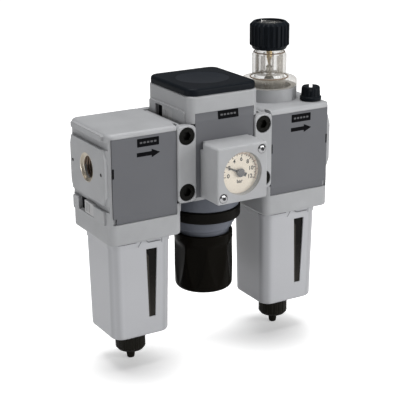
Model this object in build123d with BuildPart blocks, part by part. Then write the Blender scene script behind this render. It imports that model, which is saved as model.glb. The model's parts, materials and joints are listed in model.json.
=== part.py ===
"""Modular filter, regulator and lubricator for a compressed-air line.

Three die-cast modules stand in a row and are clamped together.  +X is the way the
air flows, +Z is up, -Y is the side with the gauge.  The origin is where the inlet port's
thread starts, behind its countersink, so the port axis of all three modules is the X axis.
All sizes are in millimetres.
"""
import math
import os

from build123d import *

os.makedirs("parts", exist_ok=True)

# ---------------------------------------------------------------- driving sizes
HALF_W = 20.0            # half the width of one module, along the air line
HALF_D = 21.7            # half the depth of a module
CORNER_R = 4.0           # upright corners of the castings
TOP = 20.3               # flat end of a casting, above the port axis
COLLAR = -35.5           # open end of a casting, below the port axis
FLANGE_T = 1.2           # how far the end flanges stand out of a casting
PAD_OUTLINE = [(-19.6, -10.3), (-17.8, -14.8), (17.0, -14.8), (18.5, -10.3),
               (18.5, 8.1), (17.0, 12.6), (-17.8, 12.6), (-19.6, 8.1)]   # port pad, across and up
PITCH = 44.3             # distance between module centres

MOUTH_DEPTH = 1.6        # countersink at the mouth of each port, at 45 degrees

FILTER_X = FLANGE_T + HALF_W - MOUTH_DEPTH
REGULATOR_X = FILTER_X + PITCH
LUBRICATOR_X = REGULATOR_X + PITCH
LINE_START = FILTER_X - HALF_W - FLANGE_T
LINE_END = LUBRICATOR_X + HALF_W + FLANGE_T

COVER_T = 1.5            # dark cover panels, let in flush front and back
COVER_HIGH = 17.9
COVER_RIDGE = -20.6      # below this line the panel leans back
COVER_LOW = -24.7
COVER_FREE = 18.1        # half width of a panel towards a free end
COVER_CLAMPED = 16.9     # half width of a panel towards a clamp
COVER_GAP = 0.12

PORT_R = 11.445 / 2      # G1/4 thread, minor radius
PORT_DEPTH = 11.9        # length of the thread
PASSAGE_R = 6.0          # air passage behind the outlet thread

SEAL_BORE_R = 14.2       # inside a casting, from the port down
COLLAR_BORE_R = 16.5
BAYONET_R = 17.7
CHAMBER_TOP = -9.0
SEAL_LEDGE = -22.0
BAYONET_HIGH = -25.2
BAYONET_LOW = -29.4

CLAMP_HALF_W = 5.2
CLAMP_FRONT = 22.7
CLAMP_BACK = 18.3
CLAMP_HIGH = 19.6
CLAMP_LOW = -19.3
CLAMP_CORNER = 2.6
SCREW_HIGH = 14.5
SCREW_LOW = -14.0
SCREW_R = 2.45           # M5 clamping screws with low heads
HEAD_R = 4.25

LATCH_Y = (-6.0, 10.9)   # the window that a lock slide runs in
LATCH_Z = (-24.2, -17.6)
LATCH_DEPTH = 1.9
LATCH_TRAVEL = 6.5

GUARD_TOP = -36.0        # shoulder of a bowl guard, just under the collar
GUARD_BOTTOM = -88.6
GUARD_HALF_HIGH = 16.7
GUARD_HALF_LOW = 15.9
GUARD_CORNER = 6.0
BAND_HEIGHT = 3.4
BAND_PROUD = 0.35
GUARD_BORE_R = 14.4
SLOT_X = 4.8             # the sight slot stands off the centre line
DRAIN_TIP = -106.2

TURRET_X = LUBRICATOR_X - 0.8
TURRET_Y = 5.0
TURRET_R = 14.5
TURRET_TOP = 27.0
PLUG_X = LUBRICATOR_X + 14.0
PLUG_Y = -12.0

BONNET_R = 18.6
BONNET_LOW = -29.3
NUT_R = 19.3
NUT_LOW = -35.2
KNOB_R = 15.3
KNOB_HIGH = -43.4
KNOB_LOW = -74.6

GAUGE_X = REGULATOR_X + 0.15
GAUGE_Z = -3.9
GAUGE_HALF = 14.3
GAUGE_FRONT = -38.1
DIAL_R = 10.9

TWIST = 45.0             # bowls turn this far from locked to free
BOWL_FLANGE_LOW = -26.2
BOWL_R = 13.9
BOWL_BASE = -85.8
SPIGOT_R = 5.9
SPIGOT_BORE = 2.6
SPIGOT_LOW = -93.0
DRAIN_HOLE_R = 6.3
GUARD_FLOOR = 2.4
SLOT_HIGH = -41.8
SLOT_LOW = -78.6

CAP_LOW = 33.2
CAP_HIGH = 36.9
SEAT_R = 5.0
GAUGE_PORT_R = 4.28      # G1/8 minor radius
NUT_THREAD_R = 16.6
SPINDLE_R = 4.0
SPRING_NUT_HIGH = -38.7
DIAL_Y = -35.2
SCREW_OFF = 11.0
NEEDLE_ANGLE = math.radians(154.0)
HEAD_SEAT_Y = -19.4

DOME_SOCKET_R = 11.5
NEEDLE_R = 1.5
DRIP_KNOB_LOW = 46.4
DRIP_FLUTES = 22
OIL_TUBE_R = 1.6
OIL_TUBE_Y = 9.3
PLUG_THREAD_R = 3.9
PLUG_RIM_LOW = 20.9


# ---------------------------------------------------------------- helpers
def turned(outline, x=0.0, y=0.0):
    """A solid of revolution about an upright axis, from (radius, height) corners."""
    with BuildPart() as solid:
        with BuildSketch(Plane.XZ.offset(-y)):
            with BuildLine():
                Polyline(*[(x + r, z) for r, z in outline], close=True)
            make_face()
        revolve(axis=Axis((x, y, 0), (0, 0, 1)))
    return solid.part


def ring(r_out, r_in, z_low, z_high, x=0.0, y=0.0):
    """A plain tube standing upright."""
    return turned([(r_in, z_low), (r_out, z_low), (r_out, z_high), (r_in, z_high)], x, y)


def o_ring(r_mid, r_cord, z, x=0.0, y=0.0):
    """A rubber O-ring lying flat."""
    with BuildPart() as solid:
        with BuildSketch(Plane.XZ.offset(-y)):
            with Locations((x + r_mid, z)):
                Circle(r_cord)
        revolve(axis=Axis((x, y, 0), (0, 0, 1)))
    return solid.part


def box_between(low, high):
    """A block between two corners."""
    with BuildPart() as solid:
        with BuildSketch(Plane.XY.offset(low[2])):
            with Locations(((low[0] + high[0]) / 2, (low[1] + high[1]) / 2)):
                Rectangle(high[0] - low[0], high[1] - low[1])
        extrude(amount=high[2] - low[2])
    return solid.part


def rod_x(r, x_low, x_high, y=0.0, z=0.0):
    """A round bar along X."""
    with BuildPart() as solid:
        with BuildSketch(Plane.YZ.offset(x_low)):
            with Locations((y, z)):
                Circle(r)
        extrude(amount=x_high - x_low)
    return solid.part


def rod_y(r, y_low, y_high, x=0.0, z=0.0):
    """A round bar along Y."""
    with BuildPart() as solid:
        with BuildSketch(Plane.XZ.offset(-y_low)):
            with Locations((x, z)):
                Circle(r)
        extrude(amount=-(y_high - y_low))
    return solid.part


def rod_z(r, z_low, z_high, x=0.0, y=0.0):
    """A round bar along Z."""
    with BuildPart() as solid:
        with BuildSketch(Plane.XY.offset(z_low)):
            with Locations((x, y)):
                Circle(r)
        extrude(amount=z_high - z_low)
    return solid.part


def coil(r_mid, wire_r, z_low, z_high, turns, x, y):
    """A compression spring, from its two wire ends."""
    height = z_high - z_low - 2 * wire_r
    with BuildPart() as solid:
        with BuildLine():
            Helix(pitch=height / turns, height=height, radius=r_mid,
                  center=(x, y, z_low + wire_r))
        with BuildSketch(Plane((x + r_mid, y, z_low + wire_r), x_dir=(1, 0, 0), z_dir=(0, 1, 0))):
            Circle(wire_r)
        sweep(is_frenet=True)
    return solid.part


def save(part, name):
    """Label a finished piece and write it."""
    part.label = name
    export_step(part, f"parts/{name}.step")


# ---------------------------------------------------------------- castings
def cover_pocket(x, free, side):
    """The space that a panel fills, on the front (side -1) or back (side 1)."""
    left = COVER_FREE if free == "left" else COVER_CLAMPED
    right = COVER_FREE if free == "right" else COVER_CLAMPED
    y_deep = side * (HALF_D - COVER_T)
    y_face = side * (HALF_D + 1)
    low = (x - left, min(y_deep, y_face), COVER_LOW)
    high = (x + right, max(y_deep, y_face), COVER_HIGH)
    return box_between(low, high)


def clamp_pocket(x_mid, side, z_high):
    """The space that a clamp plate and its hook ribs fill between two modules."""
    y_face = side * (HALF_D + 2)
    y_back = side * (CLAMP_BACK - 0.05)
    y_hook = side * (CLAMP_BACK - 1.6)
    with BuildPart() as pocket:
        add(box_between((x_mid - CLAMP_HALF_W - 0.08, min(y_face, y_back), CLAMP_LOW - 0.1),
                        (x_mid + CLAMP_HALF_W + 0.08, max(y_face, y_back), z_high)))
        for hand in (-1, 1):
            x_rib = x_mid + hand * 4.2
            add(box_between((x_rib - 0.75, min(y_hook, y_back), CLAMP_LOW - 0.1),
                            (x_rib + 0.75, max(y_hook, y_back) + 0.1, z_high)))
    return pocket.part


def casting(x, free="none", collar=COLLAR):
    """The blank that all three modules share, with its open collar downwards."""
    with BuildPart() as blank:
        with BuildSketch(Plane.XY.offset(collar)):
            with Locations((x, 0)):
                RectangleRounded(2 * HALF_W, 2 * HALF_D, CORNER_R)
        extrude(amount=TOP - collar)
        fillet(blank.faces().sort_by(Axis.Z)[-1].edges(), radius=2.2)
        fillet(blank.faces().sort_by(Axis.Z)[0].edges(), radius=1.2)
        # end flanges: an upper lip, the port pad and a lower lip, with clamp grooves between
        for hand in (-1, 1):
            with BuildSketch(Plane.YZ.offset(x + hand * (HALF_W - 3))):
                with Locations((0, 18.0)):
                    RectangleRounded(34.0, 2.9, 0.8)
                Polygon(*PAD_OUTLINE, align=None)
                with Locations((0, -21.8)):
                    RectangleRounded(35.0, 7.2, 1.2)
            extrude(amount=hand * (3 + FLANGE_T))
            with BuildSketch(Plane.YZ.offset(x + hand * (HALF_W + FLANGE_T))):
                for z_groove in (14.6, -16.5):
                    with Locations((0, z_groove)):
                        Rectangle(50, 3.4 if z_groove < 0 else 3.9)
            extrude(amount=-hand * (FLANGE_T + 0.9), mode=Mode.SUBTRACT)
        for side in (-1, 1):
            add(cover_pocket(x, free, side), mode=Mode.SUBTRACT)
        # the collar that takes a bowl or a cap
        add(ring(COLLAR_BORE_R, 0, COLLAR - 1, SEAL_LEDGE, x), mode=Mode.SUBTRACT)
        add(ring(SEAL_BORE_R, 0, SEAL_LEDGE - 1, CHAMBER_TOP, x), mode=Mode.SUBTRACT)
        add(ring(BAYONET_R, 0, BAYONET_LOW, BAYONET_HIGH, x), mode=Mode.SUBTRACT)
        # window of the lock slide in the left-hand face
        add(box_between((x - HALF_W - FLANGE_T - 1, LATCH_Y[0], LATCH_Z[0]),
                        (x - HALF_W - FLANGE_T + LATCH_DEPTH, LATCH_Y[1], LATCH_Z[1])),
            mode=Mode.SUBTRACT)
    return blank.part


def bayonet_gates(x):
    """Two channels that let the lugs of a bowl up into the groove."""
    with BuildPart() as gates:
        with BuildSketch(Plane.XY.offset(COLLAR - 1)):
            with Locations((x, 0)):
                Circle(BAYONET_R)
            with Locations(Location((x, 0, 0), (0, 0, TWIST))):
                Rectangle(50, 13, mode=Mode.INTERSECT)
        extrude(amount=BAYONET_HIGH - COLLAR + 1)
    return gates.part


def port_mouth(x_thread, x_face):
    """Countersink of a port, from the start of its thread out to the flange face."""
    over = math.copysign(0.1, x_face - x_thread)
    with BuildPart() as mouth:
        with BuildSketch(Plane.XZ):
            with BuildLine():
                Polyline((x_thread, 0), (x_thread, PORT_R), (x_face, PORT_R + MOUTH_DEPTH),
                         (x_face + over, PORT_R + MOUTH_DEPTH), (x_face + over, 0), close=True)
            make_face()
        revolve(axis=Axis.X)
    return mouth.part


def clamp_screw_channels(x_mid):
    """Clearance for the two clamping screws that pass between two modules."""
    with BuildPart() as channels:
        for z in (SCREW_HIGH, SCREW_LOW):
            add(rod_y(SCREW_R + 0.2, -HALF_D, HALF_D, x_mid, z))
    return channels.part


def joint_plane(x_left):
    """The mid plane between the module at x_left and the next one."""
    return x_left + PITCH / 2


LEFT_JOINT = joint_plane(FILTER_X)
RIGHT_JOINT = joint_plane(REGULATOR_X)


def cut_clamps(x_mid, z_high=TOP + 1):
    """Take the clamp pockets and screw channels of one joint out of a casting."""
    for side in (-1, 1):
        add(clamp_pocket(x_mid, side, z_high), mode=Mode.SUBTRACT)
    add(clamp_screw_channels(x_mid), mode=Mode.SUBTRACT)


with BuildPart() as filter_body:
    add(casting(FILTER_X, free="left"))
    add(bayonet_gates(FILTER_X), mode=Mode.SUBTRACT)
    cut_clamps(LEFT_JOINT)
    add(rod_z(6.0, -14.0, CHAMBER_TOP + 1, FILTER_X))
    add(port_mouth(0.0, LINE_START), mode=Mode.SUBTRACT)
    add(rod_x(PORT_R, LINE_START, PORT_DEPTH), mode=Mode.SUBTRACT)
    add(rod_z(3.9, CHAMBER_TOP - 1, 0, FILTER_X - 8.5), mode=Mode.SUBTRACT)
    add(rod_x(PORT_R, FILTER_X - 2, LEFT_JOINT), mode=Mode.SUBTRACT)
    add(rod_z(3.2, -15, 0, FILTER_X), mode=Mode.SUBTRACT)
save(filter_body.part, "filter_body")


with BuildPart() as regulator_body:
    add(mirror(casting(REGULATOR_X, collar=-CAP_LOW) - bayonet_gates(REGULATOR_X), about=Plane.XY))
    for x_mid in (LEFT_JOINT, RIGHT_JOINT):
        cut_clamps(x_mid, CLAMP_HIGH + 0.1)
    # air in from the left rises to the valve chamber; the seat is the rim of the middle hole
    add(rod_x(PORT_R, LEFT_JOINT, REGULATOR_X - 6.5), mode=Mode.SUBTRACT)
    add(rod_z(2.6, 0, -CHAMBER_TOP + 1, REGULATOR_X - 10.6), mode=Mode.SUBTRACT)
    add(rod_x(PORT_R, REGULATOR_X + 2, RIGHT_JOINT), mode=Mode.SUBTRACT)
    add(rod_z(SEAT_R, -3, -CHAMBER_TOP + 1, REGULATOR_X), mode=Mode.SUBTRACT)
    # diaphragm chamber on the flat end, and the hole that the valve stem passes
    add(ring(14.6, 0, -TOP - 1, -12.5, REGULATOR_X), mode=Mode.SUBTRACT)
    add(ring(16.0, 0, -TOP - 1, -18.9, REGULATOR_X), mode=Mode.SUBTRACT)
    add(rod_z(1.6, -14, 0, REGULATOR_X), mode=Mode.SUBTRACT)
    add(rod_z(0.9, -14, 0, REGULATOR_X + 7.5), mode=Mode.SUBTRACT)
    add(rod_y(GAUGE_PORT_R, -HALF_D, -9.0, GAUGE_X), mode=Mode.SUBTRACT)
    add(rod_y(1.5, -10, -3, GAUGE_X), mode=Mode.SUBTRACT)
save(regulator_body.part, "regulator_body")


with BuildPart() as lubricator_body:
    add(casting(LUBRICATOR_X, free="right"))
    add(bayonet_gates(LUBRICATOR_X), mode=Mode.SUBTRACT)
    cut_clamps(RIGHT_JOINT)
    add(rod_z(TURRET_R, TOP - 3, TURRET_TOP, TURRET_X, TURRET_Y))
    add(rod_x(PASSAGE_R, RIGHT_JOINT, LINE_END - MOUTH_DEPTH - PORT_DEPTH), mode=Mode.SUBTRACT)
    add(rod_x(PORT_R, RIGHT_JOINT, LINE_END), mode=Mode.SUBTRACT)
    add(port_mouth(LINE_END - MOUTH_DEPTH, LINE_END), mode=Mode.SUBTRACT)
    # sight-dome thread, drip duct, oil duct and the filling hole
    add(rod_z(DOME_SOCKET_R, TOP - 4.5, TURRET_TOP + 1, TURRET_X, TURRET_Y), mode=Mode.SUBTRACT)
    add(rod_z(1.0, 3, TOP, TURRET_X + 7.2, TURRET_Y - 3), mode=Mode.SUBTRACT)
    add(rod_z(OIL_TUBE_R + 0.02, CHAMBER_TOP - 1, CHAMBER_TOP + 8, LUBRICATOR_X, OIL_TUBE_Y),
        mode=Mode.SUBTRACT)
    add(rod_z(1.0, CHAMBER_TOP, TOP, LUBRICATOR_X, OIL_TUBE_Y), mode=Mode.SUBTRACT)
    add(rod_z(PLUG_THREAD_R + 0.08, TOP - 11, TOP + 1, PLUG_X, PLUG_Y), mode=Mode.SUBTRACT)
    add(rod_z(1.6, CHAMBER_TOP - 1, TOP - 10, LUBRICATOR_X + 9.5, -9.5), mode=Mode.SUBTRACT)
    add(box_between((LUBRICATOR_X + 8, -13.5, TOP - 11), (PLUG_X, -8.5, TOP - 9)),
        mode=Mode.SUBTRACT)
    # slot that the flow flap hangs in
    add(box_between((LUBRICATOR_X - 1.2, -4.5, 3.5), (LUBRICATOR_X + 6.0, 4.5, 7.6)),
        mode=Mode.SUBTRACT)
save(lubricator_body.part, "lubricator_body")


# ---------------------------------------------------------------- cover panels
def cover(x, free, side, flipped=False):
    """A dark panel let into the front (side -1) or the back (side 1) of a casting."""
    left = (COVER_FREE if free == "left" else COVER_CLAMPED) - COVER_GAP
    right = (COVER_FREE if free == "right" else COVER_CLAMPED) - COVER_GAP
    y_in = side * (HALF_D - COVER_T + 0.02)
    with BuildPart() as panel:
        with BuildSketch(Plane.YZ.offset(x - left)):
            with BuildLine():
                Polyline((y_in, COVER_HIGH - COVER_GAP), (side * HALF_D, COVER_HIGH - COVER_GAP),
                         (side * HALF_D, COVER_RIDGE), (side * (HALF_D - 0.55), COVER_LOW + COVER_GAP),
                         (y_in, COVER_LOW + COVER_GAP), close=True)
            make_face()
        extrude(amount=left + right)
        if free != "none":
            # a free end is narrower below the ridge, and has a pry notch half way up
            hand = -1 if free == "left" else 1
            edge = x + hand * COVER_FREE
            add(box_between((min(edge, edge - hand * 1.9), -HALF_D - 1 if side < 0 else HALF_D - 2,
                             COVER_LOW - 1),
                            (max(edge, edge - hand * 1.9), -HALF_D + 2 if side < 0 else HALF_D + 1,
                             COVER_RIDGE - 0.8)), mode=Mode.SUBTRACT)
            add(box_between((min(edge, edge - hand * 0.9), -HALF_D - 1 if side < 0 else HALF_D - 2,
                             -1.2),
                            (max(edge, edge - hand * 0.9), -HALF_D + 2 if side < 0 else HALF_D + 1,
                             3.8)), mode=Mode.SUBTRACT)
    if flipped:
        return mirror(panel.part, about=Plane.XY)
    return panel.part


for name, x, free in (("filter", FILTER_X, "left"), ("lubricator", LUBRICATOR_X, "right")):
    for place, side in (("front", -1), ("rear", 1)):
        with BuildPart() as plain_cover:
            add(cover(x, free, side))
        save(plain_cover.part, f"{name}_{place}_cover")

with BuildPart() as regulator_front_cover:
    add(cover(REGULATOR_X, "none", -1, flipped=True))
    add(rod_y(GAUGE_PORT_R + 1.2, -HALF_D - 1, -HALF_D + 2, GAUGE_X), mode=Mode.SUBTRACT)
save(regulator_front_cover.part, "regulator_front_cover")

with BuildPart() as regulator_rear_cover:
    add(cover(REGULATOR_X, "none", 1, flipped=True))
save(regulator_rear_cover.part, "regulator_rear_cover")


# ---------------------------------------------------------------- clamps between modules
def clamp_plate(x_mid, side):
    """One half of a body clamp: a plate with two hook ribs behind it."""
    y_low, y_high = sorted((side * CLAMP_FRONT, side * CLAMP_BACK))
    hook_low, hook_high = sorted((side * (CLAMP_BACK + 0.1), side * (CLAMP_BACK - 1.5)))
    with BuildPart() as plate:
        with BuildSketch(Plane.XZ.offset(-y_low)):
            with Locations((x_mid, (CLAMP_HIGH + CLAMP_LOW) / 2)):
                RectangleRounded(2 * CLAMP_HALF_W, CLAMP_HIGH - CLAMP_LOW, CLAMP_CORNER)
        extrude(amount=-(y_high - y_low))
        outer = plate.faces().sort_by(Axis.Y)[0 if side < 0 else -1]
        chamfer(outer.edges(), length=0.45)
        for hand in (-1, 1):
            x_rib = x_mid + hand * 4.2
            add(box_between((x_rib - 0.65, hook_low, CLAMP_LOW + 2),
                            (x_rib + 0.65, hook_high, CLAMP_HIGH - 2)))
        for z in (SCREW_HIGH, SCREW_LOW):
            if side < 0:
                add(rod_y(HEAD_R + 0.2, -CLAMP_FRONT - 1, HEAD_SEAT_Y, x_mid, z), mode=Mode.SUBTRACT)
                add(rod_y(SCREW_R + 0.15, -CLAMP_FRONT, -10, x_mid, z), mode=Mode.SUBTRACT)
            else:
                add(rod_y(SCREW_R + 0.03, 10, CLAMP_FRONT + 1, x_mid, z), mode=Mode.SUBTRACT)
    return plate.part


for place, side in (("front", -1), ("rear", 1)):
    with BuildPart() as clamp_pair:
        for x_mid in (LEFT_JOINT, RIGHT_JOINT):
            add(clamp_plate(x_mid, side))
    save(clamp_pair.part, f"{place}_clamps")


with BuildPart() as clamp_screws:
    for x_mid in (LEFT_JOINT, RIGHT_JOINT):
        for z in (SCREW_HIGH, SCREW_LOW):
            add(rod_y(HEAD_R, -CLAMP_FRONT + 0.35, HEAD_SEAT_Y, x_mid, z))
            add(rod_y(SCREW_R, HEAD_SEAT_Y - 0.5, CLAMP_FRONT - 1.0, x_mid, z))
            with BuildSketch(Plane.XZ.offset(CLAMP_FRONT)):
                with Locations((x_mid, z)):
                    RegularPolygon(radius=2.3, side_count=6)
            extrude(amount=-2.4, mode=Mode.SUBTRACT)
save(clamp_screws.part, "clamp_screws")


def flange_gap(x_mid):
    """Low and high X of the gap between the flanges of two clamped modules."""
    half = PITCH / 2 - HALF_W - FLANGE_T
    return x_mid - half, x_mid + half


with BuildPart() as port_spacers:
    for x_mid in (LEFT_JOINT, RIGHT_JOINT):
        x_low, x_high = flange_gap(x_mid)
        with BuildSketch(Plane.YZ.offset(x_low + 0.02)):
            RectangleRounded(30.0, 22.4, 2.5)
            Circle(9.2, mode=Mode.SUBTRACT)
        extrude(amount=x_high - x_low - 0.04)
save(port_spacers.part, "port_spacers")


with BuildPart() as port_seals:
    for x_mid in (LEFT_JOINT, RIGHT_JOINT):
        x_low, x_high = flange_gap(x_mid)
        with BuildSketch(Plane.YZ.offset(x_low + 0.01)):
            Circle(9.0)
            Circle(6.8, mode=Mode.SUBTRACT)
        extrude(amount=x_high - x_low - 0.02)
save(port_seals.part, "port_seals")


# ---------------------------------------------------------------- lock slides
def lock_slide(x):
    """The slide that locks a bowl or a cap, at rest at the front of its window."""
    x_out = x - HALF_W - FLANGE_T + 0.25
    x_in = x - HALF_W - FLANGE_T + LATCH_DEPTH - 0.05
    y_low = LATCH_Y[0] + 0.1
    y_high = LATCH_Y[1] - LATCH_TRAVEL - 0.2
    with BuildPart() as slide:
        add(box_between((x_out, y_low, LATCH_Z[0] + 0.1), (x_in, y_high, LATCH_Z[1] - 0.1)))
        fillet(slide.edges().filter_by(Axis.X).group_by(Axis.Y)[0], radius=1.2)
        for step in range(3):
            y_rib = y_high - 1.6 - 1.7 * step
            add(box_between((x_out - 0.3, y_rib - 0.35, LATCH_Z[0] + 1.2),
                            (x_out + 0.1, y_rib + 0.35, LATCH_Z[1] - 1.2)))
    return slide.part


with BuildPart() as filter_lock_slide:
    add(lock_slide(FILTER_X))
save(filter_lock_slide.part, "filter_lock_slide")

with BuildPart() as cap_lock_slide:
    add(mirror(lock_slide(REGULATOR_X), about=Plane.XY))
save(cap_lock_slide.part, "cap_lock_slide")

with BuildPart() as lubricator_lock_slide:
    add(lock_slide(LUBRICATOR_X))
save(lubricator_lock_slide.part, "lubricator_lock_slide")


# ---------------------------------------------------------------- bowls and drains
def guard_band(x):
    """A proud band round the guard's shoulder, with a gap over each sight slot."""
    low = GUARD_TOP - BAND_HEIGHT
    half = GUARD_HALF_HIGH + BAND_PROUD
    with BuildPart() as band:
        with BuildSketch(Plane.XY.offset(GUARD_TOP)):
            with Locations((x, 0)):
                RectangleRounded(2 * half, 2 * half, GUARD_CORNER + BAND_PROUD)
        extrude(amount=-BAND_HEIGHT)
        for side in (-1, 1):
            with BuildSketch(Plane.XZ.offset(-side * (GUARD_HALF_HIGH - 1))):
                with BuildLine():
                    Polyline((x + side * 4.0, low - 1), (x + side * 4.0, low),
                             (x - side * 1.0, GUARD_TOP - 0.5), (x - side * 10.5, GUARD_TOP - 0.5),
                             (x - side * 10.5, low - 1), close=True)
                make_face()
            extrude(amount=-side * 2.0, mode=Mode.SUBTRACT)
    return band.part


def bowl_guard(x):
    """Metal guard: a round neck with two lugs, and a tapering square body with two slots."""
    with BuildPart() as guard:
        with BuildSketch(Plane.XY.offset(GUARD_TOP)):
            with Locations((x, 0)):
                RectangleRounded(2 * GUARD_HALF_HIGH, 2 * GUARD_HALF_HIGH, GUARD_CORNER)
        with BuildSketch(Plane.XY.offset(GUARD_BOTTOM)):
            with Locations((x, 0)):
                RectangleRounded(2 * GUARD_HALF_LOW, 2 * GUARD_HALF_LOW, GUARD_CORNER)
        loft(ruled=True)
        fillet(guard.faces().sort_by(Axis.Z)[0].edges(), radius=1.6)
        add(guard_band(x))
        add(rod_z(COLLAR_BORE_R - 0.3, GUARD_TOP - 0.5, BOWL_FLANGE_LOW - 0.02, x))
        with BuildSketch(Plane.XY.offset(BAYONET_LOW + 0.2)):
            with Locations((x, 0)):
                Circle(BAYONET_R - 0.25)
                Rectangle(50, 12, mode=Mode.INTERSECT)
        extrude(amount=BOWL_FLANGE_LOW - BAYONET_LOW - 0.22)
        add(rod_z(GUARD_BORE_R, GUARD_BOTTOM + GUARD_FLOOR, BOWL_FLANGE_LOW + 1, x),
            mode=Mode.SUBTRACT)
        add(rod_z(DRAIN_HOLE_R, GUARD_BOTTOM - 1, GUARD_BOTTOM + 4, x), mode=Mode.SUBTRACT)
        for side in (-1, 1):
            with BuildSketch(Plane.XZ):
                with BuildLine():
                    x_slot = x - side * SLOT_X
                    Polyline((x_slot - 3.1, SLOT_HIGH), (x_slot + 3.1, SLOT_HIGH),
                             (x_slot + 1.8, SLOT_LOW), (x_slot - 1.8, SLOT_LOW), close=True)
                make_face()
            extrude(amount=-side * 25, mode=Mode.SUBTRACT)
    return guard.part


def clear_bowl(x):
    """Clear plastic bowl: a sealed rim, a flange on the guard, and a drain spigot."""
    outline = [(11.2, -15.6), (13.9, -15.6), (13.9, -17.8), (12.2, -17.8), (12.2, -20.3),
               (13.9, -20.3), (13.9, -23.5), (BAYONET_R - 1.5, -23.5),
               (BAYONET_R - 1.5, BOWL_FLANGE_LOW), (BOWL_R, BOWL_FLANGE_LOW),
               (BOWL_R - 0.3, BOWL_BASE + 4), (10.5, BOWL_BASE), (SPIGOT_R, BOWL_BASE),
               (SPIGOT_R, SPIGOT_LOW), (SPIGOT_BORE, SPIGOT_LOW), (SPIGOT_BORE, BOWL_BASE + 1.6),
               (9.8, BOWL_BASE + 2.6), (BOWL_R - 1.7, BOWL_BASE + 6), (BOWL_R - 1.5, -26.5),
               (11.2, -24.0)]
    return turned(outline, x)


def drain_knob(x):
    """Black drain knob with a hose nozzle, under the bowl guard."""
    outline = [(SPIGOT_R + 0.1, GUARD_BOTTOM - 0.3), (7.8, GUARD_BOTTOM - 0.3), (7.8, -99.3),
               (6.7, -100.7), (3.2, -101.4), (2.4, -102.3), (1.95, DRAIN_TIP + 0.3),
               (1.7, DRAIN_TIP), (0.9, DRAIN_TIP), (0.9, -98.0), (2.6, -98.0),
               (2.6, SPIGOT_LOW - 0.4), (SPIGOT_R + 0.1, SPIGOT_LOW - 0.4)]
    with BuildPart() as knob:
        add(turned(outline, x))
        with BuildSketch(Plane.XY.offset(-101.0)):
            with Locations((x, 0)):
                with PolarLocations(8.25, 18):
                    Circle(0.75)
        extrude(amount=11, mode=Mode.SUBTRACT)
    return knob.part


def drain_valve(x):
    """Drain stem: a cone that seats in the bowl and a stem down into the knob."""
    with BuildPart() as valve:
        add(turned([(0, BOWL_BASE + 5.0), (2.2, BOWL_BASE + 5.0), (4.2, BOWL_BASE + 2.2),
                    (4.2, BOWL_BASE + 1.95), (2.45, BOWL_BASE + 1.7), (2.45, -93.5),
                    (0, -93.5)], x))
        add(rod_z(0.8, -94, BOWL_BASE + 0.5, x), mode=Mode.SUBTRACT)
        add(rod_x(0.7, x - 3, x + 3, 0, BOWL_BASE - 0.2), mode=Mode.SUBTRACT)
    return valve.part


for name, x in (("filter", FILTER_X), ("lubricator", LUBRICATOR_X)):
    with BuildPart() as guard_piece:
        add(bowl_guard(x))
    save(guard_piece.part, f"{name}_bowl_guard")
    with BuildPart() as bowl_piece:
        add(clear_bowl(x))
    save(bowl_piece.part, f"{name}_bowl")
    with BuildPart() as bowl_seal:
        add(o_ring(13.17, 0.95, -19.05, x))
    save(bowl_seal.part, f"{name}_bowl_seal")
    with BuildPart() as knob_piece:
        add(drain_knob(x))
    save(knob_piece.part, f"{name}_drain_knob")
    with BuildPart() as valve_piece:
        add(drain_valve(x))
    save(valve_piece.part, f"{name}_drain_valve")


# ---------------------------------------------------------------- filter insides
with BuildPart() as filter_deflector:
    # swirl vanes round the spigot throw water outwards
    add(turned([(6.2, -12.6), (10.9, -12.6), (10.9, -19.8), (9.9, -19.8), (9.9, -14.2),
                (6.2, -14.2)], FILTER_X))
    with BuildSketch(Plane.XY.offset(-16)):
        with Locations((FILTER_X, 0)):
            with PolarLocations(10.4, 10):
                Rectangle(3.0, 1.6, rotation=35)
    extrude(amount=5, mode=Mode.SUBTRACT)
save(filter_deflector.part, "filter_deflector")

with BuildPart() as filter_element:
    add(ring(9.3, 6.4, -46.0, -14.3, FILTER_X))
save(filter_element.part, "filter_element")

with BuildPart() as filter_baffle:
    # an umbrella below the element, with a central rod up into the spigot
    add(turned([(0, -10.5), (3.1, -10.5), (3.1, -14.5), (2.4, -15.5), (2.4, -44.5), (6.2, -45.2),
                (6.2, -46.1), (9.4, -46.1), (11.9, -49.6), (11.3, -49.9), (8.6, -47.6), (0, -47.6)],
               FILTER_X))
    with BuildSketch(Plane.XY.offset(-52)):
        with Locations((FILTER_X, 0)):
            Rectangle(9, 1.4)
            Rectangle(1.4, 9)
    extrude(amount=5)
save(filter_baffle.part, "filter_baffle")


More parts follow.
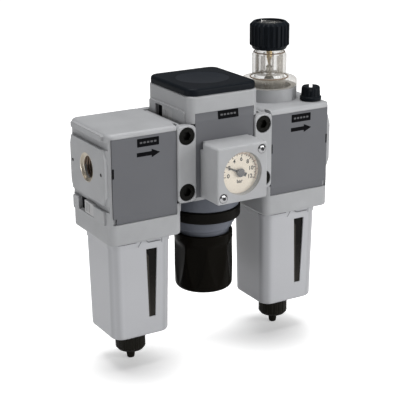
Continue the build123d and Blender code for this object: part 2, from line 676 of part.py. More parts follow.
# ---------------------------------------------------------------- regulator
with BuildPart() as regulator_cap:
    with BuildSketch(Plane.XY.offset(CAP_LOW)):
        with Locations((REGULATOR_X, 0)):
            RectangleRounded(2 * HALF_W, 2 * HALF_D - 0.4, CORNER_R + 1.2)
    extrude(amount=CAP_HIGH - CAP_LOW)
    fillet(regulator_cap.faces().sort_by(Axis.Z)[-1].edges(), radius=1.6)
    add(ring(13.6, 0, CAP_HIGH - 0.7, CAP_HIGH + 1, REGULATOR_X), mode=Mode.SUBTRACT)
    add(ring(COLLAR_BORE_R - 0.4, 0, 22.5, CAP_LOW + 0.5, REGULATOR_X))
    with BuildSketch(Plane.XY.offset(26.4)):
        with Locations((REGULATOR_X, 0)):
            Circle(BAYONET_R - 0.25)
            Rectangle(50, 12, mode=Mode.INTERSECT)
    extrude(amount=2.6)
    add(turned([(0, 17.0), (13.9, 17.0), (13.9, 18.4), (12.2, 18.4), (12.2, 20.9), (13.9, 20.9),
                (13.9, 23.0), (0, 23.0)], REGULATOR_X))
    add(ring(11.0, 6.4, 16.5, 31.0, REGULATOR_X), mode=Mode.SUBTRACT)
    add(rod_z(6.6, 16.5, 20.0, REGULATOR_X), mode=Mode.SUBTRACT)
    add(rod_z(3.1, 19, 30.0, REGULATOR_X), mode=Mode.SUBTRACT)
save(regulator_cap.part, "regulator_cap")

with BuildPart() as cap_seal:
    add(o_ring(13.17, 0.95, 19.65, REGULATOR_X))
save(cap_seal.part, "cap_seal")

with BuildPart() as valve_poppet:
    add(turned([(0, 25.0), (3.0, 25.0), (3.0, 12.2), (6.2, 12.2), (6.2, -CHAMBER_TOP + 0.02),
                (3.4, -CHAMBER_TOP + 0.02), (1.5, 6.0), (1.5, -16.4), (0, -16.4)], REGULATOR_X))
save(valve_poppet.part, "valve_poppet")

with BuildPart() as valve_spring:
    add(coil(4.6, 0.45, 12.25, 19.95, 5, REGULATOR_X, 0))
save(valve_spring.part, "valve_spring")

with BuildPart() as diaphragm:
    add(turned([(3.3, -19.4), (9.5, -19.4), (11.2, -18.0), (13.0, -18.0), (14.2, -18.95),
                (15.9, -18.95), (15.9, -20.25), (13.8, -20.25), (12.6, -19.2), (11.6, -19.2),
                (10.0, -20.25), (3.3, -20.25)], REGULATOR_X))
save(diaphragm.part, "diaphragm")

with BuildPart() as diaphragm_plate:
    add(turned([(0, -16.5), (2.0, -16.5), (3.2, -17.2), (3.2, -20.3), (10.2, -20.3),
                (10.2, -22.2), (6.9, -22.2), (6.9, -24.0), (0, -24.0)], REGULATOR_X))
save(diaphragm_plate.part, "diaphragm_plate")

with BuildPart() as bonnet:
    add(turned([(15.0, -TOP - 0.02), (BONNET_R - 0.8, -TOP - 0.02), (BONNET_R, -21.2),
                (BONNET_R, BONNET_LOW + 0.6), (BONNET_R - 0.6, BONNET_LOW), (NUT_THREAD_R, BONNET_LOW),
                (NUT_THREAD_R, NUT_LOW), (16.3, NUT_LOW), (16.3, -38.2), (15.1, -38.6),
                (15.1, -40.6), (14.6, -41.0), (13.3, -41.2), (13.3, -50.0), (SPINDLE_R + 0.08, -50.0),
                (SPINDLE_R + 0.08, -47.4), (11.3, -47.4), (11.3, -31.0), (15.0, -26.5)],
               REGULATOR_X))
    for hand in (-1, 1):
        add(box_between((REGULATOR_X + min(hand * 10, hand * 12.3), -1.6, -47.4),
                        (REGULATOR_X + max(hand * 10, hand * 12.3), 1.6, -31.0)), mode=Mode.SUBTRACT)
save(bonnet.part, "bonnet")

with BuildPart() as panel_nut:
    add(ring(NUT_R, NUT_THREAD_R + 0.03, NUT_LOW, BONNET_LOW - 0.03, REGULATOR_X))
    fillet(panel_nut.edges().group_by(Axis.Z)[0].sort_by(SortBy.RADIUS)[-1], radius=0.8)
    chamfer(panel_nut.edges().group_by(Axis.Z)[-1].sort_by(SortBy.RADIUS)[-1], length=0.4)
save(panel_nut.part, "panel_nut")

with BuildPart() as control_spring:
    add(coil(8.7, 1.0, SPRING_NUT_HIGH + 0.05, -22.25, 5, REGULATOR_X, 0))
save(control_spring.part, "control_spring")

with BuildPart() as spring_nut:
    add(ring(11.2, SPINDLE_R + 0.05, SPRING_NUT_HIGH - 4, SPRING_NUT_HIGH, REGULATOR_X))
    for hand in (-1, 1):
        add(box_between((REGULATOR_X + min(hand * 10, hand * 12.2), -1.5, SPRING_NUT_HIGH - 4),
                        (REGULATOR_X + max(hand * 10, hand * 12.2), 1.5, SPRING_NUT_HIGH - 0.8)))
save(spring_nut.part, "spring_nut")

with BuildPart() as adjusting_screw:
    # fine-threaded spindle: a thrust collar inside the bonnet, a splined end in the knob
    add(rod_z(SPINDLE_R, -62.0, -27.0, REGULATOR_X))
    add(ring(8.0, 0, -47.35, -45.6, REGULATOR_X))
    with BuildSketch(Plane.XY.offset(-68.0)):
        with Locations((REGULATOR_X, 0)):
            RegularPolygon(radius=6.0, side_count=6)
    extrude(amount=16.0)
save(adjusting_screw.part, "adjusting_screw")


with BuildPart() as adjusting_knob:
    add(rod_z(KNOB_R, KNOB_LOW, KNOB_HIGH, REGULATOR_X))
    fillet(adjusting_knob.edges().group_by(Axis.Z)[0], radius=2.4)
    chamfer(adjusting_knob.edges().group_by(Axis.Z)[-1], length=0.5)
    # eight shallow flutes, wide at the mouth and running out towards the base
    for step in range(8):
        turn = math.radians(45 * step + 22.5)
        lean = 2.2
        middle = (KNOB_R + 9.9, (KNOB_LOW + KNOB_HIGH) / 2)
        with BuildSketch(Plane((REGULATOR_X + middle[0] * math.cos(turn), middle[0] * math.sin(turn),
                                middle[1]),
                               x_dir=(-math.sin(turn), math.cos(turn), 0),
                               z_dir=(-math.sin(math.radians(lean)) * math.cos(turn),
                                      -math.sin(math.radians(lean)) * math.sin(turn),
                                      math.cos(math.radians(lean))))):
            Circle(10.0)
        extrude(amount=24, both=True, mode=Mode.SUBTRACT)
    add(rod_z(13.75, -54.5, KNOB_HIGH + 1, REGULATOR_X), mode=Mode.SUBTRACT)
    with BuildSketch(Plane.XY.offset(-72.0)):
        with Locations((REGULATOR_X, 0)):
            RegularPolygon(radius=6.12, side_count=6)
    extrude(amount=18.0, mode=Mode.SUBTRACT)
save(adjusting_knob.part, "adjusting_knob")


# ---------------------------------------------------------------- pressure gauge
with BuildPart() as gauge_housing:
    with BuildSketch(Plane.XZ.offset(HALF_D + 0.05)):
        with Locations((GAUGE_X, GAUGE_Z)):
            RectangleRounded(2 * GAUGE_HALF, 2 * GAUGE_HALF, 1.2)
    extrude(amount=-GAUGE_FRONT - HALF_D - 0.05)
    fillet(gauge_housing.faces().sort_by(Axis.Y)[0].edges(), radius=0.9)
    # the upper corners are cut back at the rear
    for hand in (-1, 1):
        x_edge = GAUGE_X + hand * GAUGE_HALF
        add(box_between((min(x_edge, x_edge - hand * 1.0) - 0.5, -24.2, GAUGE_Z + GAUGE_HALF - 4),
                        (max(x_edge, x_edge - hand * 1.0) + 0.5, -21, GAUGE_Z + GAUGE_HALF + 1)),
            mode=Mode.SUBTRACT)
    add(rod_y(DIAL_R, GAUGE_FRONT - 1, DIAL_Y + 0.7, GAUGE_X, GAUGE_Z), mode=Mode.SUBTRACT)
    add(rod_y(9.6, DIAL_Y, -24.5, GAUGE_X, GAUGE_Z), mode=Mode.SUBTRACT)
    # bearing post for the needle shaft, and the hole that the adapter fits
    add(rod_y(2.8, DIAL_Y + 2.6, -24.0, GAUGE_X, GAUGE_Z))
    add(rod_y(0.66, DIAL_Y, DIAL_Y + 4.5, GAUGE_X, GAUGE_Z), mode=Mode.SUBTRACT)
    add(rod_y(GAUGE_PORT_R, -25, -21, GAUGE_X, 0), mode=Mode.SUBTRACT)
    for hand in (-1, 1):
        x_screw, z_screw = GAUGE_X + hand * SCREW_OFF, GAUGE_Z + hand * SCREW_OFF
        add(rod_y(2.35, GAUGE_FRONT - 1, GAUGE_FRONT + 0.9, x_screw, z_screw), mode=Mode.SUBTRACT)
        add(rod_y(1.28, GAUGE_FRONT, -24, x_screw, z_screw), mode=Mode.SUBTRACT)
save(gauge_housing.part, "gauge_housing")

with BuildPart() as gauge_screws:
    for hand in (-1, 1):
        x_screw, z_screw = GAUGE_X + hand * SCREW_OFF, GAUGE_Z + hand * SCREW_OFF
        with BuildSketch(Plane((x_screw, 0, z_screw), x_dir=(1, 0, 0), z_dir=(0, 0, 1))):
            with BuildLine():
                Polyline((0, GAUGE_FRONT - 0.75), (0, -25.0), (1.25, -25.0),
                         (1.25, GAUGE_FRONT + 0.88), (2.15, GAUGE_FRONT + 0.88),
                         (2.15, GAUGE_FRONT - 0.1))
                ThreePointArc((2.15, GAUGE_FRONT - 0.1), (1.35, GAUGE_FRONT - 0.6),
                              (0, GAUGE_FRONT - 0.75))
            make_face()
        revolve(axis=Axis((x_screw, 0, z_screw), (0, 1, 0)))
        with BuildSketch(Plane.XZ.offset(-GAUGE_FRONT + 1.5)):
            with Locations((x_screw, z_screw)):
                RegularPolygon(radius=1.15, side_count=6)
        extrude(amount=-2.2, mode=Mode.SUBTRACT)
save(gauge_screws.part, "gauge_screws")

with BuildPart() as gauge_dial:
    with BuildSketch(Plane.XZ.offset(-DIAL_Y)):
        with Locations((GAUGE_X, GAUGE_Z)):
            Circle(DIAL_R - 0.1)
            Circle(0.9, mode=Mode.SUBTRACT)
    extrude(amount=-0.6)
save(gauge_dial.part, "gauge_dial")

with BuildPart() as gauge_needle:
    # hub, shaft, tapered pointer and counterweight
    add(rod_y(1.75, DIAL_Y - 1.0, DIAL_Y - 0.25, GAUGE_X, GAUGE_Z))
    add(rod_y(0.6, DIAL_Y - 0.5, DIAL_Y + 3.2, GAUGE_X, GAUGE_Z))
    with BuildSketch(Plane(origin=(GAUGE_X, DIAL_Y - 0.3, GAUGE_Z), z_dir=(0, -1, 0),
                           x_dir=(math.cos(NEEDLE_ANGLE), 0, math.sin(NEEDLE_ANGLE)))):
        with BuildLine():
            Polyline((-3.9, -1.0), (-3.9, 1.0), (0, 0.7), (8.3, 0.16), (8.3, -0.16), (0, -0.7),
                     close=True)
        make_face()
    extrude(amount=0.4)
save(gauge_needle.part, "gauge_needle")

with BuildPart() as gauge_lens:
    add(rod_y(DIAL_R - 0.05, GAUGE_FRONT + 0.35, GAUGE_FRONT + 1.05, GAUGE_X, GAUGE_Z))
save(gauge_lens.part, "gauge_lens")

with BuildPart() as bourdon_tube:
    with BuildLine():
        CenterArc((0, 0, 0), 7.9, 100, 250)
    with BuildSketch(Plane(origin=(7.9 * math.cos(math.radians(100)), 7.9 * math.sin(math.radians(100)), 0),
                           x_dir=(0, 0, 1),
                           z_dir=(-math.sin(math.radians(100)), math.cos(math.radians(100)), 0))):
        Ellipse(1.5, 0.7)
    sweep()
tube_place = Plane(origin=(GAUGE_X, DIAL_Y + 4.0, GAUGE_Z), x_dir=(1, 0, 0), z_dir=(0, -1, 0))
with BuildPart() as bourdon_spring:
    add(tube_place.location * bourdon_tube.part)
save(bourdon_spring.part, "gauge_bourdon_tube")

with BuildPart() as gauge_adapter:
    add(rod_y(GAUGE_PORT_R - 0.03, -24.3, -9.2, GAUGE_X))
    add(rod_y(1.5, -25, -9, GAUGE_X), mode=Mode.SUBTRACT)
save(gauge_adapter.part, "gauge_adapter")


# ---------------------------------------------------------------- lubricator
with BuildPart() as sight_dome:
    # clear dome: screwed spigot, wide flange, barrel and a narrow neck for the drip knob
    add(turned([(DOME_SOCKET_R - 0.05, 17.8), (DOME_SOCKET_R - 0.05, TURRET_TOP + 0.02),
                (14.2, TURRET_TOP + 0.02), (14.6, 27.5), (14.6, 30.2), (13.9, 31.0), (10.6, 31.3),
                (9.4, 32.0), (9.0, 33.4), (9.0, 43.4), (8.3, 44.6), (7.7, 44.9), (7.7, 54.0),
                (NEEDLE_R + 0.05, 54.0), (NEEDLE_R + 0.05, 51.0), (5.9, 48.5), (7.2, 44.0), (7.4, 33.0),
                (8.6, 30.0), (8.6, 17.8)], TURRET_X, TURRET_Y))
save(sight_dome.part, "sight_dome")

with BuildPart() as sight_dome_seal:
    add(o_ring(DOME_SOCKET_R - 1.2 - 0.5, 0.9, 16.75, TURRET_X, TURRET_Y))
save(sight_dome_seal.part, "sight_dome_seal")

with BuildPart() as drip_tube:
    # oil comes up the side tube, over the bend and drips from the nozzle
    add(turned([(0.5, 16.8), (5.6, 16.8), (5.6, 15.85), (6.4, 15.85), (6.4, 18.0), (2.6, 19.2),
                (2.6, 30.5), (1.7, 31.5), (1.7, 36.5), (0.9, 37.5), (0.5, 37.5)],
               TURRET_X, TURRET_Y))
save(drip_tube.part, "drip_tube")

with BuildPart() as drip_needle:
    add(turned([(0, 36.9), (0.38, 37.5), (1.1, 40.5), (NEEDLE_R, 42.0), (NEEDLE_R, 56.2),
                (0, 56.2)],
               TURRET_X, TURRET_Y))
save(drip_needle.part, "drip_needle")

with BuildPart() as drip_knob:
    # fluted cap over the neck of the dome
    add(turned([(7.95, DRIP_KNOB_LOW), (8.7, DRIP_KNOB_LOW), (9.3, 47.6), (9.3, 59.4), (8.3, 60.6),
                (7.4, 60.6), (7.4, 57.6), (NEEDLE_R + 0.06, 57.6), (NEEDLE_R + 0.06, 55.4),
                (7.95, 55.4)], TURRET_X, TURRET_Y))
    with BuildSketch(Plane.XY.offset(48.4)):
        with Locations((TURRET_X, TURRET_Y)):
            with PolarLocations(9.35, DRIP_FLUTES):
                Rectangle(2.0, 1.5)
    extrude(amount=11.0)
save(drip_knob.part, "drip_knob")

with BuildPart() as drip_knob_window:
    # clear disc with a setting arrow, let into the top of the knob
    add(rod_z(7.3, 57.65, 59.9, TURRET_X, TURRET_Y))
    chamfer(drip_knob_window.edges().group_by(Axis.Z)[-1], length=0.5)
save(drip_knob_window.part, "drip_knob_window")

with BuildPart() as fill_plug:
    add(turned([(0, TOP - 8.5), (PLUG_THREAD_R - 1.0, TOP - 8.5), (PLUG_THREAD_R, TOP - 7.8),
                (PLUG_THREAD_R, PLUG_RIM_LOW), (5.6, PLUG_RIM_LOW), (5.6, 22.3), (5.0, 22.7),
                (4.75, 27.2), (4.2, 27.8), (0, 27.8)], PLUG_X, PLUG_Y))
    with BuildSketch(Plane.XY.offset(23.2)):
        with Locations((PLUG_X, PLUG_Y)):
            with PolarLocations(5.35, 14):
                Circle(0.75)
    extrude(amount=6, mode=Mode.SUBTRACT)
    with BuildSketch(Plane.XY.offset(25.9)):
        with Locations(Location((PLUG_X, PLUG_Y, 0), (0, 0, 55))):
            Rectangle(12, 1.7)
    extrude(amount=3, mode=Mode.SUBTRACT)
save(fill_plug.part, "fill_plug")

with BuildPart() as fill_plug_seal:
    add(ring(4.9, PLUG_THREAD_R + 0.1, TOP + 0.01, PLUG_RIM_LOW - 0.01, PLUG_X, PLUG_Y))
save(fill_plug_seal.part, "fill_plug_seal")

with BuildPart() as oil_tube:
    add(ring(OIL_TUBE_R, 0.9, -76.0, CHAMBER_TOP + 7, LUBRICATOR_X, OIL_TUBE_Y))
save(oil_tube.part, "oil_tube")

with BuildPart() as oil_strainer:
    # sintered cup on the foot of the tube
    add(turned([(0, -79.5), (2.3, -79.5), (2.6, -79.0), (2.6, -73.0), (OIL_TUBE_R + 0.02, -73.0),
                (OIL_TUBE_R + 0.02, -77.0), (0, -77.0)], LUBRICATOR_X, OIL_TUBE_Y))
save(oil_strainer.part, "oil_strainer")

with BuildPart() as flow_flap:
    # springy flap that hangs in the air stream and bends over as the flow rises
    add(box_between((LUBRICATOR_X - 0.3, -4.2, -3.4), (LUBRICATOR_X + 0.3, 4.2, 6.0)))
    add(rod_y(0.85, -4.2, 4.2, LUBRICATOR_X, 6.3))
save(flow_flap.part, "flow_flap")
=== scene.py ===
import json
import math

import bmesh
import bpy
from mathutils import Matrix, Vector


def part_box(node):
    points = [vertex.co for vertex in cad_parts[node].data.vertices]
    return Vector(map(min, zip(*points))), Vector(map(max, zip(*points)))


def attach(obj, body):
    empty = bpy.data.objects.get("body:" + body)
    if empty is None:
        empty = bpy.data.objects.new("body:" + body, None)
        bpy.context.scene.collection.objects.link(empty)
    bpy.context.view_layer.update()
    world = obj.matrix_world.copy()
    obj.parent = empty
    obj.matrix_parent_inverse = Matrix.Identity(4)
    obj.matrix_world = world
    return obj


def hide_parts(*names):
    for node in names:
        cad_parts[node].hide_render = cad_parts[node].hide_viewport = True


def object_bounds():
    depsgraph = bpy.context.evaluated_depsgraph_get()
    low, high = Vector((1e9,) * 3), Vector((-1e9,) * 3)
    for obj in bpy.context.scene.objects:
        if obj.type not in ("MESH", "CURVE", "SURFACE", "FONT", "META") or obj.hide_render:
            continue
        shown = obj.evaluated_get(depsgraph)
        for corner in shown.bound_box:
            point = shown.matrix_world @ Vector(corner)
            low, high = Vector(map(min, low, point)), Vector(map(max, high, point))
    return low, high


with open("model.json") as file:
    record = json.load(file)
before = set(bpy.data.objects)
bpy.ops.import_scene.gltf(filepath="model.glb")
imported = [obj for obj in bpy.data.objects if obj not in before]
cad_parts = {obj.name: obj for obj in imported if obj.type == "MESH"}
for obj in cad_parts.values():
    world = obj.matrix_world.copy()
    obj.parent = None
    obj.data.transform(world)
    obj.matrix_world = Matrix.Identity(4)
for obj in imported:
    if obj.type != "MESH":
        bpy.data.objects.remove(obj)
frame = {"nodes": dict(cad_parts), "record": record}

cad_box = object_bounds()
MM = 0.001


# ---------------------------------------------------------------- shader helpers
def new_material(name):
    """An empty node material: its tree, its Principled shader, and a texture coordinate node."""
    material = bpy.data.materials.new(name)
    material.use_nodes = True
    tree = material.node_tree
    shader = tree.nodes["Principled BSDF"]
    place = tree.nodes.new("ShaderNodeTexCoord")
    return material, tree, shader, place


def noise(tree, place, scale, detail=3.0, roughness=0.55):
    """A noise texture in the piece's own metres."""
    node = tree.nodes.new("ShaderNodeTexNoise")
    node.inputs["Scale"].default_value = scale
    node.inputs["Detail"].default_value = detail
    node.inputs["Roughness"].default_value = roughness
    tree.links.new(place.outputs["Object"], node.inputs["Vector"])
    return node


def ramp(tree, source, low, high, at_low, at_high):
    """Turns a factor into a colour between two given ones."""
    node = tree.nodes.new("ShaderNodeValToRGB")
    node.color_ramp.elements[0].position = low
    node.color_ramp.elements[1].position = high
    node.color_ramp.elements[0].color = (*at_low, 1.0)
    node.color_ramp.elements[1].color = (*at_high, 1.0)
    tree.links.new(source, node.inputs["Fac"])
    return node


def map_range(tree, source, to_low, to_high, from_low=0.3, from_high=0.7):
    """Turns a factor into a value between two given ones."""
    node = tree.nodes.new("ShaderNodeMapRange")
    node.inputs["From Min"].default_value = from_low
    node.inputs["From Max"].default_value = from_high
    node.inputs["To Min"].default_value = to_low
    node.inputs["To Max"].default_value = to_high
    tree.links.new(source, node.inputs["Value"])
    return node


def maths(tree, operation, *sources):
    """A maths node. Each source is a socket to link or a plain number."""
    node = tree.nodes.new("ShaderNodeMath")
    node.operation = operation
    for socket, source in zip(node.inputs, sources):
        if isinstance(source, float):
            socket.default_value = source
        else:
            tree.links.new(source, socket)
    return node.outputs["Value"]


def bump(tree, shader, height, distance):
    """Fine relief from a height factor, in metres."""
    node = tree.nodes.new("ShaderNodeBump")
    node.inputs["Distance"].default_value = distance
    node.inputs["Strength"].default_value = 1.0
    tree.links.new(height, node.inputs["Height"])
    tree.links.new(node.outputs["Normal"], shader.inputs["Normal"])


def uneven_gloss(tree, shader, place, rough, spread, grain=900.0):
    """Roughness that varies finely about a middle value. Returns the fine factor."""
    fine = noise(tree, place, grain, 2.0)
    gloss = map_range(tree, fine.outputs["Fac"], max(0.0, rough - spread), rough + spread)
    tree.links.new(gloss.outputs["Result"], shader.inputs["Roughness"])
    return fine


def tint(colour, factor):
    """The colour made lighter or darker."""
    return tuple(min(1.0, part * factor) for part in colour)


def moulded(name, colour, rough, grain=9000.0, relief=0.00002, spread=0.06, specular=0.5,
            metallic=0.0):
    """A painted or moulded surface: even colour with faint clouds, fine grain and uneven gloss."""
    material, tree, shader, place = new_material(name)
    shader.inputs["Metallic"].default_value = metallic
    shader.inputs["Specular IOR Level"].default_value = specular
    clouds = noise(tree, place, 60.0, 4.0)
    dark, light = tint(colour, 1 - spread), tint(colour, 1 + spread)
    colours = ramp(tree, clouds.outputs["Fac"], 0.3, 0.7, dark, light)
    tree.links.new(colours.outputs["Color"], shader.inputs["Base Color"])
    fine = uneven_gloss(tree, shader, place, rough, 0.06, grain)
    bump(tree, shader, fine.outputs["Fac"], relief)
    return material


def window(name, colour, opacity, rough=0.05):
    """A thin clear pane that lets the light straight through."""
    material, tree, shader, place = new_material(name)
    shader.inputs["Base Color"].default_value = (*colour, 1.0)
    shader.inputs["Alpha"].default_value = opacity
    uneven_gloss(tree, shader, place, rough, 0.03)
    return material


def thick_window(name, colour, faced, edge, rough=0.08):
    """A clear moulding with thick walls: it takes more light where it is seen edge on."""
    material = window(name, colour, faced, rough)
    tree = material.node_tree
    rim = tree.nodes.new("ShaderNodeLayerWeight")
    rim.inputs["Blend"].default_value = 0.35
    alpha = map_range(tree, rim.outputs["Facing"], faced, edge, 0.1, 0.9)
    tree.links.new(alpha.outputs["Result"], tree.nodes["Principled BSDF"].inputs["Alpha"])
    return material


def corner_bands(material, colour, stops):
    """Painted sheen and shade: soft upright light and dark bands where a square wall turns a corner,
    standing in for its reflections. Each stop is a share of the quarter turn from one flat face to the
    next, and a tint."""
    tree = material.node_tree
    place = next(node for node in tree.nodes if node.type == "TEX_COORD")
    parts = tree.nodes.new("ShaderNodeSeparateXYZ")
    tree.links.new(place.outputs["Normal"], parts.inputs["Vector"])
    angle = maths(tree, "ARCTAN2", parts.outputs["Y"], parts.outputs["X"])
    turned = maths(tree, "FLOORED_MODULO", angle, math.pi / 2)
    quarter = map_range(tree, turned, 0.0, 1.0, 0.0, math.pi / 2)
    first, last = tint(colour, stops[0][1]), tint(colour, stops[-1][1])
    sheen_bands = ramp(tree, quarter.outputs["Result"], 0.0, 1.0, first, last)
    for position, factor in stops[1:-1]:
        step = sheen_bands.color_ramp.elements.new(position)
        step.color = (*tint(colour, factor), 1.0)
    tree.links.new(sheen_bands.outputs["Color"], tree.nodes["Principled BSDF"].inputs["Base Color"])
    return material


def smoked(name, top_colour, foot_colour, low, high):
    """A dark glossy surface for painted shade, a little lighter towards its foot. low and high are heights
    in metres.
    """
    material, tree, shader, place = new_material(name)
    shader.inputs["Specular IOR Level"].default_value = 0.12
    shader.inputs["Roughness"].default_value = 0.2
    height = tree.nodes.new("ShaderNodeSeparateXYZ")
    tree.links.new(place.outputs["Object"], height.inputs["Vector"])
    along = map_range(tree, height.outputs["Z"], 0.0, 1.0, low, high)
    streak = noise(tree, place, 260.0, 3.0)
    both = maths(tree, "MULTIPLY_ADD", streak.outputs["Fac"], 0.35, along.outputs["Result"])
    colours = ramp(tree, both, 0.15, 1.1, foot_colour, top_colour)
    tree.links.new(colours.outputs["Color"], shader.inputs["Base Color"])
    return material


def clear(name, colour, rough=0.06, ior=1.5):
    """Clear moulded plastic."""
    material, tree, shader, place = new_material(name)
    shader.inputs["Base Color"].default_value = (*colour, 1.0)
    shader.inputs["Transmission Weight"].default_value = 1.0
    shader.inputs["IOR"].default_value = ior
    fine = uneven_gloss(tree, shader, place, rough, 0.04)
    bump(tree, shader, fine.outputs["Fac"], 0.00001)
    return material


def sheen_edges(material, radius=0.0004):
    """Softens the sharp edges of a casting where they catch the light."""
    tree = material.node_tree
    soft = tree.nodes.new("ShaderNodeBevel")
    soft.samples = 6
    soft.inputs["Radius"].default_value = radius
    for node in tree.nodes:
        if node.type == "BUMP":
            tree.links.new(soft.outputs["Normal"], node.inputs["Normal"])
    return material


# painted light: the guards get a lighter copy of the casting paint, where they look brighter
GUARD_LIT_COLOUR = (0.455, 0.46, 0.48)
# tints of the painted corner sheen and shade on the guards
GUARD_CORNER_SHEEN = ((0.0, 1.0), (0.16, 0.84), (0.40, 0.98), (0.62, 0.86), (0.86, 1.05), (1.0, 1.0))
MATERIALS = {
    "cast_grey": sheen_edges(moulded("cast_paint", (0.355, 0.360, 0.370), 0.42, specular=0.4)),
    "cover_dark": moulded("cover_plastic", (0.130, 0.133, 0.144), 0.5, spread=0.02, specular=0.2),
    "clamp_grey": sheen_edges(moulded("clamp_paint", (0.37, 0.375, 0.385), 0.40)),
    "slate": moulded("slate_plastic", (0.115, 0.125, 0.150), 0.36, specular=0.3),
    "guard_grey": corner_bands(sheen_edges(moulded("guard_lit_paint", GUARD_LIT_COLOUR, 0.34, specular=0.4)),
                               GUARD_LIT_COLOUR, GUARD_CORNER_SHEEN),
    "black_plastic": sheen_edges(moulded("black_plastic", (0.0060, 0.0080, 0.0110), 0.42, specular=0.07)),
    "clear_plastic": clear("clear_plastic", (0.95, 0.93, 0.88)),
    "nut_black": moulded("nut_black", (0.0040, 0.0035, 0.0025), 0.35, specular=0.06),
    # darker grey for the painted shade lines under the steps of the guards
    "step_shade_grey": moulded("step_shade_grey", (0.13, 0.13, 0.14), 0.6, specular=0.1),
    "dome_clear": thick_window("dome_clear", (0.50, 0.47, 0.41), 0.16, 0.62),
    "rib_tan": window("rib_tan", (0.40, 0.33, 0.26), 0.40, 0.12),
    "glint_brown": moulded("glint_brown", (0.040, 0.036, 0.030), 0.3, specular=0.1),
    "thread_metal": moulded("thread_metal", (0.16, 0.12, 0.09), 0.30, metallic=1.0, relief=0.000004),
    "mouth_metal": moulded("mouth_metal", (0.58, 0.53, 0.45), 0.32, metallic=1.0, relief=0.000004),
    "drain_black": moulded("drain_black", (0.0085, 0.0075, 0.0050), 0.38, specular=0.12),
    "dish_black": moulded("dish_black", (0.010, 0.0130, 0.0180), 0.35, specular=0.10),
    "screw_black": moulded("screw_black", (0.0045, 0.0045, 0.0035), 0.24, specular=0.08),
    "chrome": moulded("chrome_plate", (0.50, 0.50, 0.51), 0.18, metallic=1.0, relief=0.000002),
    "steel": moulded("steel", (0.60, 0.57, 0.50), 0.22, metallic=1.0, relief=0.000004),
    "brass": moulded("brass", (0.70, 0.52, 0.26), 0.25, metallic=1.0, relief=0.000004),
    "seal_rubber": moulded("seal_rubber", (0.02, 0.02, 0.021), 0.6),
    "ring_brown": moulded("ring_brown", (0.22, 0.14, 0.09), 0.45),
    "seal_orange": moulded("seal_orange", (0.34, 0.15, 0.06), 0.45),
    "white_plastic": moulded("white_plastic", (0.75, 0.75, 0.73), 0.45),
    "element_white": moulded("element_sinter", (0.72, 0.70, 0.64), 0.85, grain=3500.0, relief=0.0002),
    "dial_cream": moulded("dial_paint", (0.80, 0.72, 0.60), 0.5, spread=0.02),
    "needle_black": moulded("needle_paint", (0.02, 0.02, 0.02), 0.45),
    "latch_grey": moulded("latch_plastic", (0.43, 0.43, 0.435), 0.42),
    "gauge_grey": sheen_edges(moulded("gauge_plastic", (0.39, 0.395, 0.405), 0.38, specular=0.4)),
    "sinter_bronze": moulded("sinter_bronze", (0.42, 0.28, 0.13), 0.7, metallic=1.0, relief=0.0002),
    "lens_clear": window("lens_clear", (0.9, 0.9, 0.88), 0.07),
    # colours of the painted shade of the bowls' inside behind the sight slots
    "bowl_inside_shade": smoked("bowl_inside_shade", (0.0030, 0.0025, 0.0020), (0.022, 0.020, 0.017), -0.080, -0.050),
    # black print, and also the black plates of painted shade in slots and hollows
    "print_and_shade_black": moulded("print_and_shade_black", (0.005, 0.005, 0.006), 0.6, specular=0.02),
    "print_red": moulded("print_red", (0.30, 0.09, 0.04), 0.5, specular=0.2),
    "print_grey": moulded("print_grey", (0.10, 0.10, 0.105), 0.5, specular=0.2),
    "knob_gloss": sheen_edges(moulded("knob_gloss", (0.0040, 0.0032, 0.0020), 0.26, relief=0.000006,
                                      specular=0.035)),
}

slot_of = {row["node"]: row["material_slot"] for row in frame["record"]["subparts"]}
look_of = {
    "filter_bowl_guard": "guard_grey",
    "lubricator_bowl_guard": "guard_grey",
    "gauge_lens": "lens_clear",
    "sight_dome": "dome_clear",
    "panel_nut": "nut_black",
    "filter_drain_knob": "drain_black",
    "lubricator_drain_knob": "drain_black",
}
for name, node in frame["nodes"].items():
    node.data.materials.clear()
    node.data.materials.append(MATERIALS[look_of.get(name, slot_of[name])])


# ---------------------------------------------------------------- mesh helpers
def finish_piece(name, form, body, slot_name, stands_for=(), look=None, sharp=32.0):
    """Turns a bmesh, in millimetres, into a shaded piece that rides on a body."""
    bmesh.ops.remove_doubles(form, verts=form.verts, dist=0.0005)
    bmesh.ops.recalc_face_normals(form, faces=form.faces)
    bmesh.ops.scale(form, vec=(MM, MM, MM), verts=form.verts)
    mesh = bpy.data.meshes.new(name)
    form.to_mesh(mesh)
    form.free()
    mesh.shade_smooth()
    mesh.set_sharp_from_angle(angle=math.radians(sharp))
    mesh.materials.append(MATERIALS[look or slot_name])
    piece = bpy.data.objects.new(name, mesh)
    bpy.context.scene.collection.objects.link(piece)
    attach(piece, body)
    if stands_for:
        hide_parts(*stands_for)
    return piece


